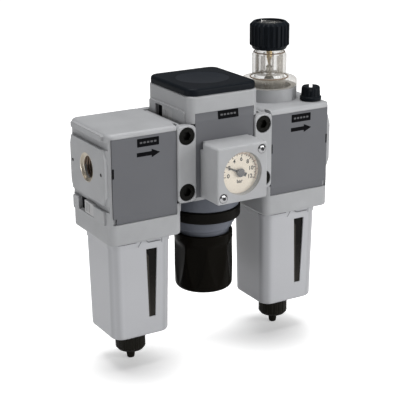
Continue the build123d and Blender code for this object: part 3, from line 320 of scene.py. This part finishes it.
def rounded(corners, radius, steps=4, turned=True):
    """A closed outline with each corner turned into an arc. A corner may bring its own radius, and
    stays sharp on the axis of a turned piece."""
    outline = []
    count = len(corners)
    for index, corner in enumerate(corners):
        here = Vector(corner[:2])
        before = Vector(corners[index - 1][:2]) - here
        after = Vector(corners[(index + 1) % count][:2]) - here
        wish = corner[2] if len(corner) > 2 else radius
        if wish <= 0 or (turned and here.x == 0.0):
            outline.append(tuple(here))
            continue
        turn = before.angle(after)
        reach = min(wish / math.tan(turn / 2), 0.48 * before.length, 0.48 * after.length)
        bend = reach * math.tan(turn / 2)
        inward = (before.normalized() + after.normalized()).normalized()
        middle = here + inward * (bend / math.sin(turn / 2))
        start = here + before.normalized() * reach - middle
        end = here + after.normalized() * reach - middle
        first = math.atan2(start.y, start.x)
        sweep = (math.atan2(end.y, end.x) - first + math.pi) % math.tau - math.pi
        for step in range(steps + 1):
            angle = first + sweep * step / steps
            outline.append((middle.x + bend * math.cos(angle), middle.y + bend * math.sin(angle)))
    return outline


def bridge(form, ring, other):
    """Faces between two rings of points. A ring of one point is a pole."""
    count = max(len(ring), len(other))
    if count == 1:
        return
    for k in range(count):
        corners = [ring[k % len(ring)], ring[(k + 1) % len(ring)],
                   other[(k + 1) % len(other)], other[k % len(other)]]
        form.faces.new(list(dict.fromkeys(corners)))


def lathe(outline, centre, segments=96, shape=None):
    """Turns a closed outline of (radius, height) about an upright axis. shape(angle, radius, height)
    gives the radius where the piece isn't round."""
    form = bmesh.new()
    rings = []
    for radius, height in outline:
        if radius < 1e-6:
            rings.append([form.verts.new((centre[0], centre[1], height))])
            continue
        ring = []
        for k in range(segments):
            angle = math.tau * k / segments
            reach = shape(angle, radius, height) if shape else radius
            ring.append(form.verts.new((centre[0] + reach * math.cos(angle),
                                        centre[1] + reach * math.sin(angle), height)))
        rings.append(ring)
    for ring, other in zip(rings, rings[1:] + rings[:1]):
        bridge(form, ring, other)
    return form


def split_levels(outline, spacing):
    """Adds points to the long upright runs of an outline, so that a flute can shape them."""
    fine = []
    for here, after in zip(outline, outline[1:] + outline[:1]):
        fine.append(here)
        count = int(abs(after[1] - here[1]) // spacing)
        for step in range(1, count + 1):
            share = step / (count + 1)
            fine.append((here[0] + (after[0] - here[0]) * share, here[1] + (after[1] - here[1]) * share))
    return fine


def facing(way, x, y, z, tilt=0.0):
    """A flat drawing plane at a place in millimetres: its Y axis is up, its normal looks that way."""
    normals = {"front": (0, -1, 0), "rear": (0, 1, 0), "left": (-1, 0, 0), "right": (1, 0, 0)}
    normal = Vector(normals[way])
    up = Vector((0, 0, 1))
    across = up.cross(normal)
    frame_here = Matrix((across, up, normal)).transposed().to_4x4()
    return Matrix.Translation((x, y, z)) @ frame_here @ Matrix.Rotation(tilt, 4, "X")


def plate(outline, depth, place, form=None):
    """An outline in a drawing plane, made depth thick towards the plane's normal."""
    form = form or bmesh.new()
    back = [form.verts.new(place @ Vector((x, y, 0.0))) for x, y in outline]
    front = [form.verts.new(place @ Vector((x, y, depth))) for x, y in outline]
    form.faces.new(back[::-1])
    form.faces.new(front)
    for k in range(len(outline)):
        after = (k + 1) % len(outline)
        form.faces.new((back[k], back[after], front[after], front[k]))
    return form


def oblong(width, height, radius=0.3, x=0.0, y=0.0):
    """A rounded rectangle as an outline about a point."""
    corners = [(x - width / 2, y - height / 2), (x + width / 2, y - height / 2),
               (x + width / 2, y + height / 2), (x - width / 2, y + height / 2)]
    return rounded(corners, radius, turned=False)


def disc(radius, x=0.0, y=0.0, count=24):
    """A circle as an outline."""
    return [(x + radius * math.cos(math.tau * k / count), y + radius * math.sin(math.tau * k / count))
            for k in range(count)]


def middle_of(node):
    """The middle of a CAD node's box, in millimetres."""
    low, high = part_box(node)
    return (low + high) / 2 / MM


def low_of(node):
    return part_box(node)[0] / MM


def high_of(node):
    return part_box(node)[1] / MM


# ---------------------------------------------------------------- adjusting knob
KNOB_FLUTES = 8
KNOB_FLUTE_DEPTH = 1.25
KNOB_BAND = 4.2          # smooth band above the flutes
KNOB_HEEL = 2.6          # smooth rim below them
KNOB_CAVITY_R = 13.75
KNOB_FLOOR = 20.1        # height of the cavity's floor above the knob's foot


def build_knob():
    """The adjusting knob: a smooth band at its mouth and eight hollow flutes that end in points."""
    low, high = low_of("adjusting_knob"), high_of("adjusting_knob")
    centre = middle_of("adjusting_knob")
    radius = (high.x - low.x) / 2
    foot, mouth = low.z, high.z
    corners = [(0.0, foot), (radius - 0.25, foot, 2.4), (radius, foot + 12.0, 0.0), (radius, mouth, 0.6),
               (KNOB_CAVITY_R, mouth, 0.5), (KNOB_CAVITY_R, foot + KNOB_FLOOR, 0.8),
               (0.0, foot + KNOB_FLOOR)]
    outline = split_levels(rounded(corners, 0.4, 6), 0.9)

    def fluted(angle, reach, height):
        along = (mouth - KNOB_BAND - height) / (mouth - KNOB_BAND - foot - KNOB_HEEL)
        if reach < radius - 0.8 or not 0.0 < along < 1.0:
            return reach
        pitch = math.tau / KNOB_FLUTES
        half = pitch / 2 * (1 - along ** 2) ** 0.7
        off = abs((angle + pitch / 2) % pitch - pitch / 2)
        if off >= half:
            return reach
        ease = min(1.0, along * 8.0)
        return reach - KNOB_FLUTE_DEPTH * ease * (half / (pitch / 2)) * (1 - (off / half) ** 2)

    form = lathe(outline, centre, 256, fluted)
    finish_piece("adjusting_knob_grip", form, "knob", "black_plastic", ("adjusting_knob",),
                 "knob_gloss", 50.0)


# ---------------------------------------------------------------- drip knob
DRIP_GROOVES = 24
DRIP_GROOVE_DEPTH = 0.75
DRIP_CORE_R = 9.36       # the grooves reach no deeper
DRIP_BORE_R = 7.95       # inside the skirt
DRIP_SEAT_R = 7.42       # takes the clear disc


def build_drip_knob():
    """The drip knob: a plain skirt, a fluted barrel and a chamfered rim round the clear disc."""
    low, high = low_of("drip_knob"), high_of("drip_knob")
    centre = middle_of("drip_knob")
    radius = (high.x - low.x) / 2 - 0.05
    foot, top = low.z, high.z
    corners = [(DRIP_BORE_R, foot, 0.1), (8.75, foot, 0.3), (9.35, foot + 1.5, 0.3),
               (radius, foot + 2.1, 0.3), (radius, top - 1.7, 0.3), (8.5, top, 0.35),
               (DRIP_SEAT_R, top, 0.2), (DRIP_SEAT_R, top - 3.0, 0.1), (1.6, top - 3.0, 0.1),
               (1.6, top - 5.2, 0.1), (DRIP_BORE_R, top - 5.2, 0.2)]
    outline = split_levels(rounded(corners, 0.3, 4), 1.0)

    def fluted(angle, reach, height):
        if reach < DRIP_CORE_R or not foot + 1.5 < height < top - 0.4:
            return reach
        pitch = math.tau / DRIP_GROOVES
        off = abs((angle + pitch / 2) % pitch - pitch / 2) / (pitch / 2)
        groove = min(1.0, max(0.0, (0.72 - off) / 0.22))
        return max(DRIP_CORE_R, reach - DRIP_GROOVE_DEPTH * groove * groove * (3 - 2 * groove))

    form = lathe(outline, centre, 384, fluted)
    finish_piece("drip_knob_grip", form, "drip_control", "black_plastic", ("drip_knob",), None, 45.0)


def build_setting_arrow():
    """A small pointer under the clear disc of the drip knob."""
    centre = middle_of("drip_knob_window")
    level = low_of("drip_knob_window").z - 0.02
    place = Matrix.Translation((centre.x, centre.y, level - 0.06))
    arrow = [(-3.4, -0.5), (1.2, -0.5), (1.2, -1.6), (4.6, 0.0), (1.2, 1.6), (1.2, 0.5), (-3.4, 0.5)]
    form = plate(arrow, 0.05, place)
    finish_piece("drip_knob_arrow", form, "drip_control", "white_plastic")


# ---------------------------------------------------------------- port threads
THREAD_PITCH = 1.337     # G1/4
THREAD_TURNS = 9
THREAD_STEPS = 48        # points round one turn
THREAD_START = 1.3       # behind the flange's face
THREAD_ROOT = 5.70       # radius of the wall that the ridge stands on
THREAD_CREST = 0.40      # height of the ridge


def build_thread(name, x_mouth, inward):
    """The thread inside a port: one turn after another of a V-shaped ridge."""
    crest = THREAD_ROOT - THREAD_CREST
    form = bmesh.new()
    rows = []
    for k in range(THREAD_STEPS * THREAD_TURNS + 1):
        angle = math.tau * k / THREAD_STEPS
        start = THREAD_START + THREAD_PITCH * k / THREAD_STEPS
        row = []
        for share, reach in ((0.0, THREAD_ROOT), (0.38, crest), (0.5, crest), (0.88, THREAD_ROOT)):
            x = x_mouth + inward * (start + share * THREAD_PITCH)
            row.append(form.verts.new((x, reach * math.cos(angle), inward * reach * math.sin(angle))))
        rows.append(row)
    for row, after in zip(rows, rows[1:]):
        for k in range(3):
            form.faces.new((row[k], row[k + 1], after[k + 1], after[k]))
        form.faces.new((row[3], row[0], after[0], after[3]))
    form.faces.new(rows[0])
    form.faces.new(rows[-1][::-1])
    finish_piece(name, form, "housing", "steel", look="thread_metal", sharp=20.0)


# ---------------------------------------------------------------- gauge dial
DIAL_ZERO = 190.0        # degrees from +X, counter-clockwise as read
DIAL_STEP = 18.0         # degrees for one unit
DIAL_FULL = 12
NUMBER_R = 6.6
TICK_R = 9.15
RED_TICKS = 16


def letters(text, size, place, form):
    """Adds a number or a word, centred in a drawing plane."""
    curve = bpy.data.curves.new("letters", "FONT")
    curve.body = text
    curve.size = size
    curve.extrude = 0.02
    curve.offset = 0.07
    curve.resolution_u = 3
    curve.align_x = "CENTER"
    curve.align_y = "CENTER"
    shape = bpy.data.objects.new("letters", curve)
    bpy.context.scene.collection.objects.link(shape)
    bpy.context.view_layer.update()
    mesh = bpy.data.meshes.new_from_object(shape.evaluated_get(bpy.context.evaluated_depsgraph_get()))
    mesh.transform(place)
    form.from_mesh(mesh)
    bpy.data.objects.remove(shape)
    bpy.data.curves.remove(curve)
    bpy.data.meshes.remove(mesh)


def tick(form, place, angle, start, end, width):
    """One radial mark on the dial."""
    turned = place @ Matrix.Rotation(math.radians(angle), 4, "Z")
    half = width / 2
    plate([(start, -half), (end, -half), (end, half), (start, half)], 0.04, turned, form)


def band(form, place, r_in, r_out, angle_low, angle_high, count=40):
    """An arc-shaped strip on the dial."""
    angles = [math.radians(angle_low + (angle_high - angle_low) * k / count) for k in range(count + 1)]
    outer = [(r_out * math.cos(a), r_out * math.sin(a)) for a in angles]
    inner = [(r_in * math.cos(a), r_in * math.sin(a)) for a in reversed(angles)]
    plate(outer + inner, 0.03, place, form)


def build_dial_print():
    """Numbers, marks and a second outer scale printed on the dial."""
    centre = middle_of("gauge_dial")
    face = low_of("gauge_dial").y
    place = facing("front", centre.x, face - 0.01, centre.z)
    black = bmesh.new()
    for value in range(DIAL_FULL + 1):
        angle = DIAL_ZERO - DIAL_STEP * value
        tick(black, place, angle, TICK_R - (1.1 if value % 2 == 0 else 0.7), TICK_R, 0.36)
        if value < DIAL_FULL:
            tick(black, place, angle - DIAL_STEP / 2, TICK_R - 0.4, TICK_R, 0.16)
    for value in range(0, DIAL_FULL + 1, 2):
        angle = math.radians(DIAL_ZERO - DIAL_STEP * value)
        spot = place @ Matrix.Translation((NUMBER_R * math.cos(angle), NUMBER_R * math.sin(angle), 0.03))
        letters(str(value), 2.9, spot, black)
    letters("bar", 2.5, place @ Matrix.Translation((0.0, -4.6, 0.03)), black)
    band(black, place, TICK_R, TICK_R + 0.14, DIAL_ZERO - DIAL_STEP * DIAL_FULL, DIAL_ZERO)
    finish_piece("dial_marks", black, "housing", "needle_black", look="print_and_shade_black", sharp=20.0)
    red = bmesh.new()
    for value in range(RED_TICKS + 1):
        angle = DIAL_ZERO - DIAL_STEP * DIAL_FULL * value / RED_TICKS
        tick(red, place, angle, TICK_R + 0.45, TICK_R + (1.35 if value % 2 == 0 else 0.95), 0.26)
    band(red, place, TICK_R + 0.32, TICK_R + 0.48, DIAL_ZERO - DIAL_STEP * DIAL_FULL, DIAL_ZERO)
    finish_piece("dial_outer_scale", red, "housing", "seal_orange", look="print_red", sharp=20.0)


def build_needle_cap():
    """The small turned cap on the needle's hub."""
    low = low_of("gauge_needle")
    centre = middle_of("gauge_dial")
    outline = rounded([(0.0, 0.0), (2.2, 0.0, 0.2), (2.2, 0.5, 0.25), (0.0, 0.8)], 0.2)
    form = lathe(outline, (0.0, 0.0), 48)
    bmesh.ops.transform(form, matrix=facing("front", centre.x, low.y - 0.01, centre.z), verts=form.verts)
    finish_piece("needle_cap", form, "needle", "brass", look="print_grey")


# ---------------------------------------------------------------- printed labels and arrows
LABEL_W = 11.8
LABEL_H = 4.1
LABEL_X = 1.4            # labels stand a little right of each panel's middle


def build_label(name, place):
    """A black label with a row of plain dashes."""
    finish_piece(f"{name}_label", plate(oblong(LABEL_W, LABEL_H, 0.25), 0.06, place), "housing",
                 "screw_black", look="print_and_shade_black")
    form = bmesh.new()
    above = place @ Matrix.Translation((0.0, 0.0, 0.06))
    for k in range(5):
        plate(oblong(1.3, 0.9, 0.2, (k - 2) * 1.9, 0.0), 0.02, above, form)
    finish_piece(f"{name}_label_dashes", form, "housing", "latch_grey", look="print_grey")


def build_arrow(name, place):
    """A black flow arrow."""
    arrow = [(-6.2, -1.0), (1.8, -1.0), (1.8, -2.1), (6.4, 0.0), (1.8, 2.1), (1.8, 1.0), (-6.2, 1.0)]
    finish_piece(f"{name}_arrow", plate(arrow, 0.06, place), "housing", "screw_black", look="print_and_shade_black")


def build_labels():
    for name in ("filter", "lubricator"):
        cover = f"{name}_front_cover"
        x = middle_of(f"{name}_body").x + LABEL_X
        face = low_of(cover).y - 0.005
        top = high_of(cover).z
        build_label(name, facing("front", x, face, top - 3.2))
        build_arrow(name, facing("front", x, face, top - 9.0))
    low, high = low_of("regulator_front_cover"), high_of("regulator_front_cover")
    x = middle_of("regulator_body").x + LABEL_X + 0.6
    lean = math.atan2(0.55, 4.0)
    build_label("regulator", facing("front", x, low.y + 0.23, high.z - 2.25, -lean))


# ---------------------------------------------------------------- small marks on the castings
PIN_ACROSS = 15.8        # from the port's axis
PIN_R = 0.85


def build_port_pins():
    """Two dark pin heads in each port pad, either side of the port."""
    filter_low, lube_high = low_of("filter_body"), high_of("lubricator_body")
    for name, way, x in (("inlet", "left", filter_low.x), ("outlet", "right", lube_high.x)):
        form = bmesh.new()
        for across in (-PIN_ACROSS, PIN_ACROSS):
            head = rounded([(0.0, -0.3), (PIN_R, -0.3, 0.1), (PIN_R, 0.12, 0.1), (0.0, 0.2)], 0.1)
            shape = lathe(head, (0, 0), 32)
            bmesh.ops.transform(shape, matrix=facing(way, x, across, 0.0), verts=shape.verts)
            mesh = bpy.data.meshes.new("pin")
            shape.to_mesh(mesh)
            shape.free()
            form.from_mesh(mesh)
            bpy.data.meshes.remove(mesh)
        finish_piece(f"{name}_pins", form, "housing", "screw_black")


def build_pry_slots():
    """Black plates of painted shade for the slots at the panel edges, where a blade lifts the panel out."""
    low = low_of("filter_front_cover")
    lube_low, lube_high = low_of("lubricator_front_cover"), high_of("lubricator_front_cover")
    for name, x, z in (("filter", low.x + 0.42, 1.3), ("lubricator", lube_low.x + 0.45, 0.4),
                       ("lubricator_outer", lube_high.x - 0.42, 1.3)):
        form = plate(oblong(0.85, 4.9, 0.2), 0.03, facing("front", x, low.y + 0.02, z))
        finish_piece(f"{name}_pry_slot_shade", form, "housing", "screw_black", look="print_and_shade_black")


MOUTH_DEPTH = 1.6        # countersink of a port
MOUTH_BORE_R = 5.72
MOUTH_SKIN = 0.05        # how far the bright metal stands out of the flange
MOUTH_SLOPE = 1.246      # of its stepped wall: radius lost per depth


def build_port_mouths():
    """Bare metal on the countersink of each port, stepped where the first turns of the thread run out."""
    rim = MOUTH_BORE_R + MOUTH_DEPTH
    outline = [(MOUTH_BORE_R, MOUTH_DEPTH), (rim, 0.0), (rim, -MOUTH_SKIN), (rim - 0.25, -MOUTH_SKIN)]
    for down in (0.10, 0.45, 0.80):
        outline += [(7.0 - MOUTH_SLOPE * down, down), (7.02 - MOUTH_SLOPE * down, down + 0.2)]
    outline.append((5.45, MOUTH_DEPTH - 0.35))
    for name, way, x in (("inlet", "left", low_of("filter_body").x),
                         ("outlet", "right", high_of("lubricator_body").x)):
        form = lathe([(r, -z) for r, z in outline], (0.0, 0.0), 96)
        bmesh.ops.transform(form, matrix=facing(way, x, 0.0, 0.0), verts=form.verts)
        finish_piece(f"{name}_mouth", form, "housing", "steel", look="mouth_metal", sharp=25.0)


# ---------------------------------------------------------------- bowl guards
SLOT_SHIFT = 4.8         # sight slots stand off the bowl's middle
SLOT_HIGH = -41.9
SLOT_LOW = -78.5
WINDOW_DEPTH_Y = 14.2    # back face of the window, from the bowl's axis
WINDOW_THICK = 1.5
STEP_SHADE_LEVEL = -37.3     # foot of the painted shade line under the band round a guard's shoulder
STEP_SHADE_HEIGHT = 0.4
STEP_SHADE_THICK = 0.1
STEP_SHADE_SINK = 0.38       # the plain wall of a guard, inside its box
STEP_SHADE_END = -3.8        # where the painted shade line stops, across from the bowl's middle
GUARD_CORNER = 6.2       # radius of a guard's upright corners
LIP_SHADE_LINE = ((-2.9, 2.0), (-2.1, 3.2), (-0.6, 5.4), (0.5, 5.8),     # the course of the painted shade line along the lip over a slot
            (1.4, 5.1), (2.4, 3.9), (3.2, 3.6), (9.6, 3.6))


def build_sight_windows():
    """A dark plate of painted shade for the shaded inside of each bowl, where it fills the sight slots of
    its guard, and a faint brown painted glint down one side of each."""
    for name in ("filter", "lubricator"):
        guard = middle_of(f"{name}_bowl_guard")
        form = bmesh.new()
        for side, way in ((-1, "front"), (1, "rear")):
            place = facing(way, guard.x - side * SLOT_SHIFT, side * WINDOW_DEPTH_Y, 0.0)
            outline = [(-1.72, SLOT_LOW), (1.72, SLOT_LOW), (3.02, SLOT_HIGH), (-3.02, SLOT_HIGH)]
            plate(outline, WINDOW_THICK, place, form)
        finish_piece(f"{name}_sight_windows", form, f"{name}_bowl_unit", "clear_plastic", look="bowl_inside_shade")
        form = bmesh.new()
        for side, way in ((-1, "front"), (1, "rear")):
            place = facing(way, guard.x - side * SLOT_SHIFT, side * (WINDOW_DEPTH_Y + WINDOW_THICK), 0.0)
            plate([(-1.62, SLOT_LOW), (-0.9, SLOT_LOW), (-1.3, SLOT_HIGH - 4.0), (-2.9, SLOT_HIGH - 1.5)],
                  0.05, place, form)
        finish_piece(f"{name}_sight_glints", form, f"{name}_bowl_unit", "clear_plastic", look="glint_brown")


def square_outline(half, corner, count=10):
    """Points round a rounded square about the origin, counter-clockwise from the +X side."""
    points = []
    for quarter in range(4):
        middle = Vector((half - corner, half - corner))
        middle.rotate(Matrix.Rotation(math.pi / 2 * quarter, 2))
        for k in range(count + 1):
            angle = math.pi / 2 * (quarter + k / count)
            points.append(middle + corner * Vector((math.cos(angle), math.sin(angle))))
    return points


def ribbon(form, path):
    """A thin strip along a path. Each point brings its place on the wall, its outward normal and
    its level."""
    rows = []
    for spot, normal, level in path:
        outer = spot + normal * STEP_SHADE_THICK
        rows.append([form.verts.new((spot.x, spot.y, level)), form.verts.new((outer.x, outer.y, level)),
                     form.verts.new((outer.x, outer.y, level + STEP_SHADE_HEIGHT)),
                     form.verts.new((spot.x, spot.y, level + STEP_SHADE_HEIGHT))])
    for row, after in zip(rows, rows[1:]):
        for k in range(4):
            form.faces.new((row[k], row[(k + 1) % 4], after[(k + 1) % 4], after[k]))
    form.faces.new(rows[0])
    form.faces.new(rows[-1][::-1])


def build_guard_creases():
    """Thin dark strips of painted shade under the step of the band round each guard, and along the lip
    above each sight slot.
    """
    for name in ("filter", "lubricator"):
        guard = f"{name}_bowl_guard"
        axis = Vector((middle_of(guard).x, 0.0))
        half = (high_of(guard).x - low_of(guard).x) / 2 - STEP_SHADE_SINK
        core = half - GUARD_CORNER
        front = Vector((0, -1))
        step_shade = []
        for spot in square_outline(half, GUARD_CORNER):
            angle = math.atan2(spot.y, spot.x) / math.pi
            if not -0.97 < angle < 0.98 or (spot.y < 0 and spot.x < STEP_SHADE_END):
                inner = Vector((max(min(spot.x, core), -core), max(min(spot.y, core), -core)))
                normal = (spot - inner).normalized() if (spot - inner).length > 1e-6 else front
                step_shade.append((spot, normal, STEP_SHADE_LEVEL))
        step_shade.append((Vector((STEP_SHADE_END, -half)), front, STEP_SHADE_LEVEL))
        lip_shade = [(Vector((across, -half)), front, SLOT_HIGH + up) for across, up in LIP_SHADE_LINE]
        form = bmesh.new()
        for turn in (0.0, math.pi):
            spin = Matrix.Rotation(turn, 2)
            for strip in (step_shade, lip_shade):
                ribbon(form, [(spin @ spot + axis, spin @ normal, level) for spot, normal, level in strip])
        finish_piece(f"{name}_guard_step_shades", form, f"{name}_bowl_unit", "cast_grey",
                     look="step_shade_grey", sharp=20.0)


# ---------------------------------------------------------------- lock slides and cap
SHADE_W = 6.2            # width of the black plate of painted shade


def build_lock_shades():
    """A black plate of painted shade in the hollow behind each lock slide, at the end that the slide moves
    to.
    """
    for name, slide in (("filter", "filter_lock_slide"), ("cap", "cap_lock_slide"),
                        ("lubricator", "lubricator_lock_slide")):
        low, high = low_of(slide), high_of(slide)
        height = high.z - low.z - 0.4
        place = facing("left", high.x + 0.03, high.y + 0.3 + SHADE_W / 2, (low.z + high.z) / 2)
        form = plate(oblong(SHADE_W, height, 0.4), 0.02, place)
        finish_piece(f"{name}_lock_shade", form, "housing", "screw_black", look="print_and_shade_black")


DISH_R = 13.55           # shallow hollow in the cap's top
DISH_DEPTH = 0.55
DISH_BASE = 0.72
DISH_STEPS = 14


def build_cap_dish():
    """The shallow hollow in the cap's top."""
    centre = middle_of("regulator_cap")
    top = high_of("regulator_cap").z
    outline = [(0.0, top - DISH_DEPTH)]
    for k in range(1, DISH_STEPS + 1):
        share = k / DISH_STEPS
        depth = DISH_DEPTH * math.cos(share * math.pi / 2) ** 0.8 + 0.03
        outline.append((DISH_R * share, top - depth))
    outline += [(DISH_R, top - DISH_BASE), (0.0, top - DISH_BASE)]
    form = lathe(outline, centre, 128)
    finish_piece("cap_dish", form, "regulator_cap_unit", "black_plastic", look="dish_black", sharp=60.0)


# ---------------------------------------------------------------- inside of the clear dome
RIB_COUNT = 9
RIB_FOOT = 6.4           # above the turret
RIB_HEIGHT = 9.6
RIB_R_IN = 6.1
RIB_R_OUT = 6.95
RIB_HALF_W = 0.5


def build_dome_rings():
    """Brownish seal rings seen through the clear dome."""
    centre = middle_of("sight_dome")
    top = high_of("lubricator_body").z
    for name, r_mid, height, cord in (("lower", 9.9, top + 4.5, 0.34), ("upper", 8.0, top + 17.6, 0.30)):
        outline = [(r_mid + cord * x, height + cord * y) for x, y in disc(1.0, count=16)]
        form = lathe(outline, centre, 96)
        finish_piece(f"dome_ring_{name}", form, "housing", "seal_orange", look="ring_brown")


def build_dome_ribs():
    """The moulded ribs inside the clear dome, and the ring that they stand on."""
    centre = middle_of("sight_dome")
    foot = high_of("lubricator_body").z + RIB_FOOT
    form = lathe([(3.6, foot - 0.7), (6.9, foot - 0.7), (6.9, foot), (3.6, foot)], centre, 64)
    stand = Matrix.Translation((centre.x, centre.y, foot))
    for k in range(RIB_COUNT):
        turned = stand @ Matrix.Rotation(math.tau * k / RIB_COUNT, 4, "Z")
        plate([(RIB_R_IN, -RIB_HALF_W), (RIB_R_OUT, -RIB_HALF_W), (RIB_R_OUT, RIB_HALF_W),
               (RIB_R_IN, RIB_HALF_W)], RIB_HEIGHT, turned, form)
    finish_piece("dome_ribs", form, "housing", "clear_plastic", look="rib_tan")


build_knob()
build_drip_knob()
build_setting_arrow()
build_thread("inlet_thread", low_of("filter_body").x, 1)
build_thread("outlet_thread", high_of("lubricator_body").x, -1)
build_dial_print()
build_needle_cap()
build_labels()
build_port_pins()
build_pry_slots()
build_port_mouths()
build_sight_windows()
build_guard_creases()
build_lock_shades()
build_cap_dish()
build_dome_rings()
build_dome_ribs()


# ---------------------------------------------------------------- camera, light and floor
CAMERA_TURN = -30.27     # degrees about the upright axis, from straight in front
CAMERA_RISE = 18.24      # degrees
CAMERA_ROLL = -0.40      # degrees
CAMERA_LENS = 107.25     # mm, for a sensor 36 mm wide
CAMERA_AWAY = 0.60995    # metres back from the target, then to the left and down
CAMERA_LEFT = 0.001597
CAMERA_DOWN = 0.02665


def add_camera():
    """The camera stands where the regulator's front left corner is seen, a little from above."""
    low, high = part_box("regulator_body")
    target = Vector(((low.x + high.x) / 2, 0.0, 0.0))
    turn, rise = math.radians(CAMERA_TURN), math.radians(CAMERA_RISE)
    back = Vector((math.sin(turn) * math.cos(rise), -math.cos(turn) * math.cos(rise), math.sin(rise)))
    right = Vector((math.cos(turn), math.sin(turn), 0.0))
    up = back.cross(right)
    data = bpy.data.cameras.new("camera")
    data.lens = CAMERA_LENS
    data.sensor_width = 36.0
    camera = bpy.data.objects.new("camera", data)
    camera.location = target + back * CAMERA_AWAY - right * CAMERA_LEFT - up * CAMERA_DOWN
    rotation = Matrix((right, up, back)).transposed() @ Matrix.Rotation(math.radians(CAMERA_ROLL), 3, "Z")
    camera.rotation_mode = "QUATERNION"
    camera.rotation_quaternion = rotation.to_quaternion()
    bpy.context.scene.collection.objects.link(camera)
    bpy.context.scene.camera = camera


def add_light(name, place, target, size, power):
    """A soft rectangular lamp that faces the target."""
    data = bpy.data.lights.new(name, "AREA")
    data.shape = "RECTANGLE"
    data.size, data.size_y = size
    data.energy = power
    lamp = bpy.data.objects.new(name, data)
    lamp.location = place
    lamp.rotation_mode = "QUATERNION"
    lamp.rotation_quaternion = (Vector(place) - Vector(target)).to_track_quat("Z", "Y")
    bpy.context.scene.collection.objects.link(lamp)


GLOW_LOW = 0.26          # the floor's own light in the painted shadow under a bowl, and away from it
GLOW_HIGH = 0.85
GLOW_SPILL = 0.13        # how much of that light reaches the object
SHADE_REACH = 0.052      # metres from a bowl's axis to where its painted shadow ends
SHADE_SHIFT = Vector((-0.008, -0.015))


def add_floor():
    """A white floor just under the drain nozzles. It glows, less so in a painted shadow round each bowl,
    and more for the camera than for the object."""
    low, high = cad_box
    mesh = bpy.data.meshes.new("floor")
    form = bmesh.new()
    bmesh.ops.create_grid(form, x_segments=4, y_segments=4, size=4.0)
    form.to_mesh(mesh)
    form.free()
    floor = bpy.data.objects.new("floor", mesh)
    floor.location = ((low.x + high.x) / 2, 0.0, low.z - 0.0004)
    material, tree, shader, place = new_material("floor_paper")
    shader.inputs["Base Color"].default_value = (0.72, 0.72, 0.72, 1.0)
    shader.inputs["Roughness"].default_value = 0.9
    shader.inputs["Specular IOR Level"].default_value = 0.0
    shader.inputs["Emission Color"].default_value = (1.0, 1.0, 1.0, 1.0)
    kind = tree.nodes.new("ShaderNodeLightPath")
    bright = map_range(tree, kind.outputs["Is Camera Ray"], GLOW_SPILL, 1.0, 0.0, 1.0)
    glows = []
    # a painted shadow: the floor's glow drops towards each bowl's axis
    for bowl in ("filter_bowl", "lubricator_bowl"):
        spot = (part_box(bowl)[0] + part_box(bowl)[1]) / 2 - floor.location
        away = tree.nodes.new("ShaderNodeVectorMath")
        away.operation = "DISTANCE"
        away.inputs[1].default_value = (spot.x + SHADE_SHIFT.x, spot.y + SHADE_SHIFT.y, 0.0)
        tree.links.new(place.outputs["Object"], away.inputs[0])
        glow = map_range(tree, away.outputs["Value"], GLOW_LOW, GLOW_HIGH, 0.0, SHADE_REACH)
        glow.interpolation_type = "SMOOTHSTEP"
        glows.append(glow.outputs["Result"])
    darker = maths(tree, "MINIMUM", *glows)
    strength = maths(tree, "MULTIPLY", darker, bright.outputs["Result"])
    tree.links.new(strength, shader.inputs["Emission Strength"])
    mesh.materials.append(material)
    bpy.context.scene.collection.objects.link(floor)


WORLD_LIGHT = 0.15       # what the object gets from all round, while the camera sees plain white


def add_world():
    """Even white light from all round."""
    world = bpy.data.worlds.new("world")
    world.use_nodes = True
    tree = world.node_tree
    sky = tree.nodes["Background"]
    sky.inputs["Color"].default_value = (1.0, 1.0, 1.0, 1.0)
    kind = tree.nodes.new("ShaderNodeLightPath")
    seen = map_range(tree, kind.outputs["Is Camera Ray"], WORLD_LIGHT, 1.0, 0.0, 1.0)
    tree.links.new(seen.outputs["Result"], sky.inputs["Strength"])
    bpy.context.scene.world = world


LIGHTS = (               # place from the object's middle, size and power
    ("left", (-0.95, 0.02, 0.05), (0.22, 0.3), 2.0),
    ("key", (0.15, -0.95, 0.45), (0.6, 0.6), 2.3),
    ("strip", (0.62, -0.75, 0.12), (0.14, 0.7), 5.0),
    ("top", (0.0, 0.05, 0.9), (0.7, 0.7), 8.6),
)

add_camera()
add_world()
add_floor()
middle = (cad_box[0] + cad_box[1]) / 2
for name, place, size, power in LIGHTS:
    add_light(name, middle + Vector(place), middle, size, power)
bpy.context.scene.view_settings.view_transform = "Standard"
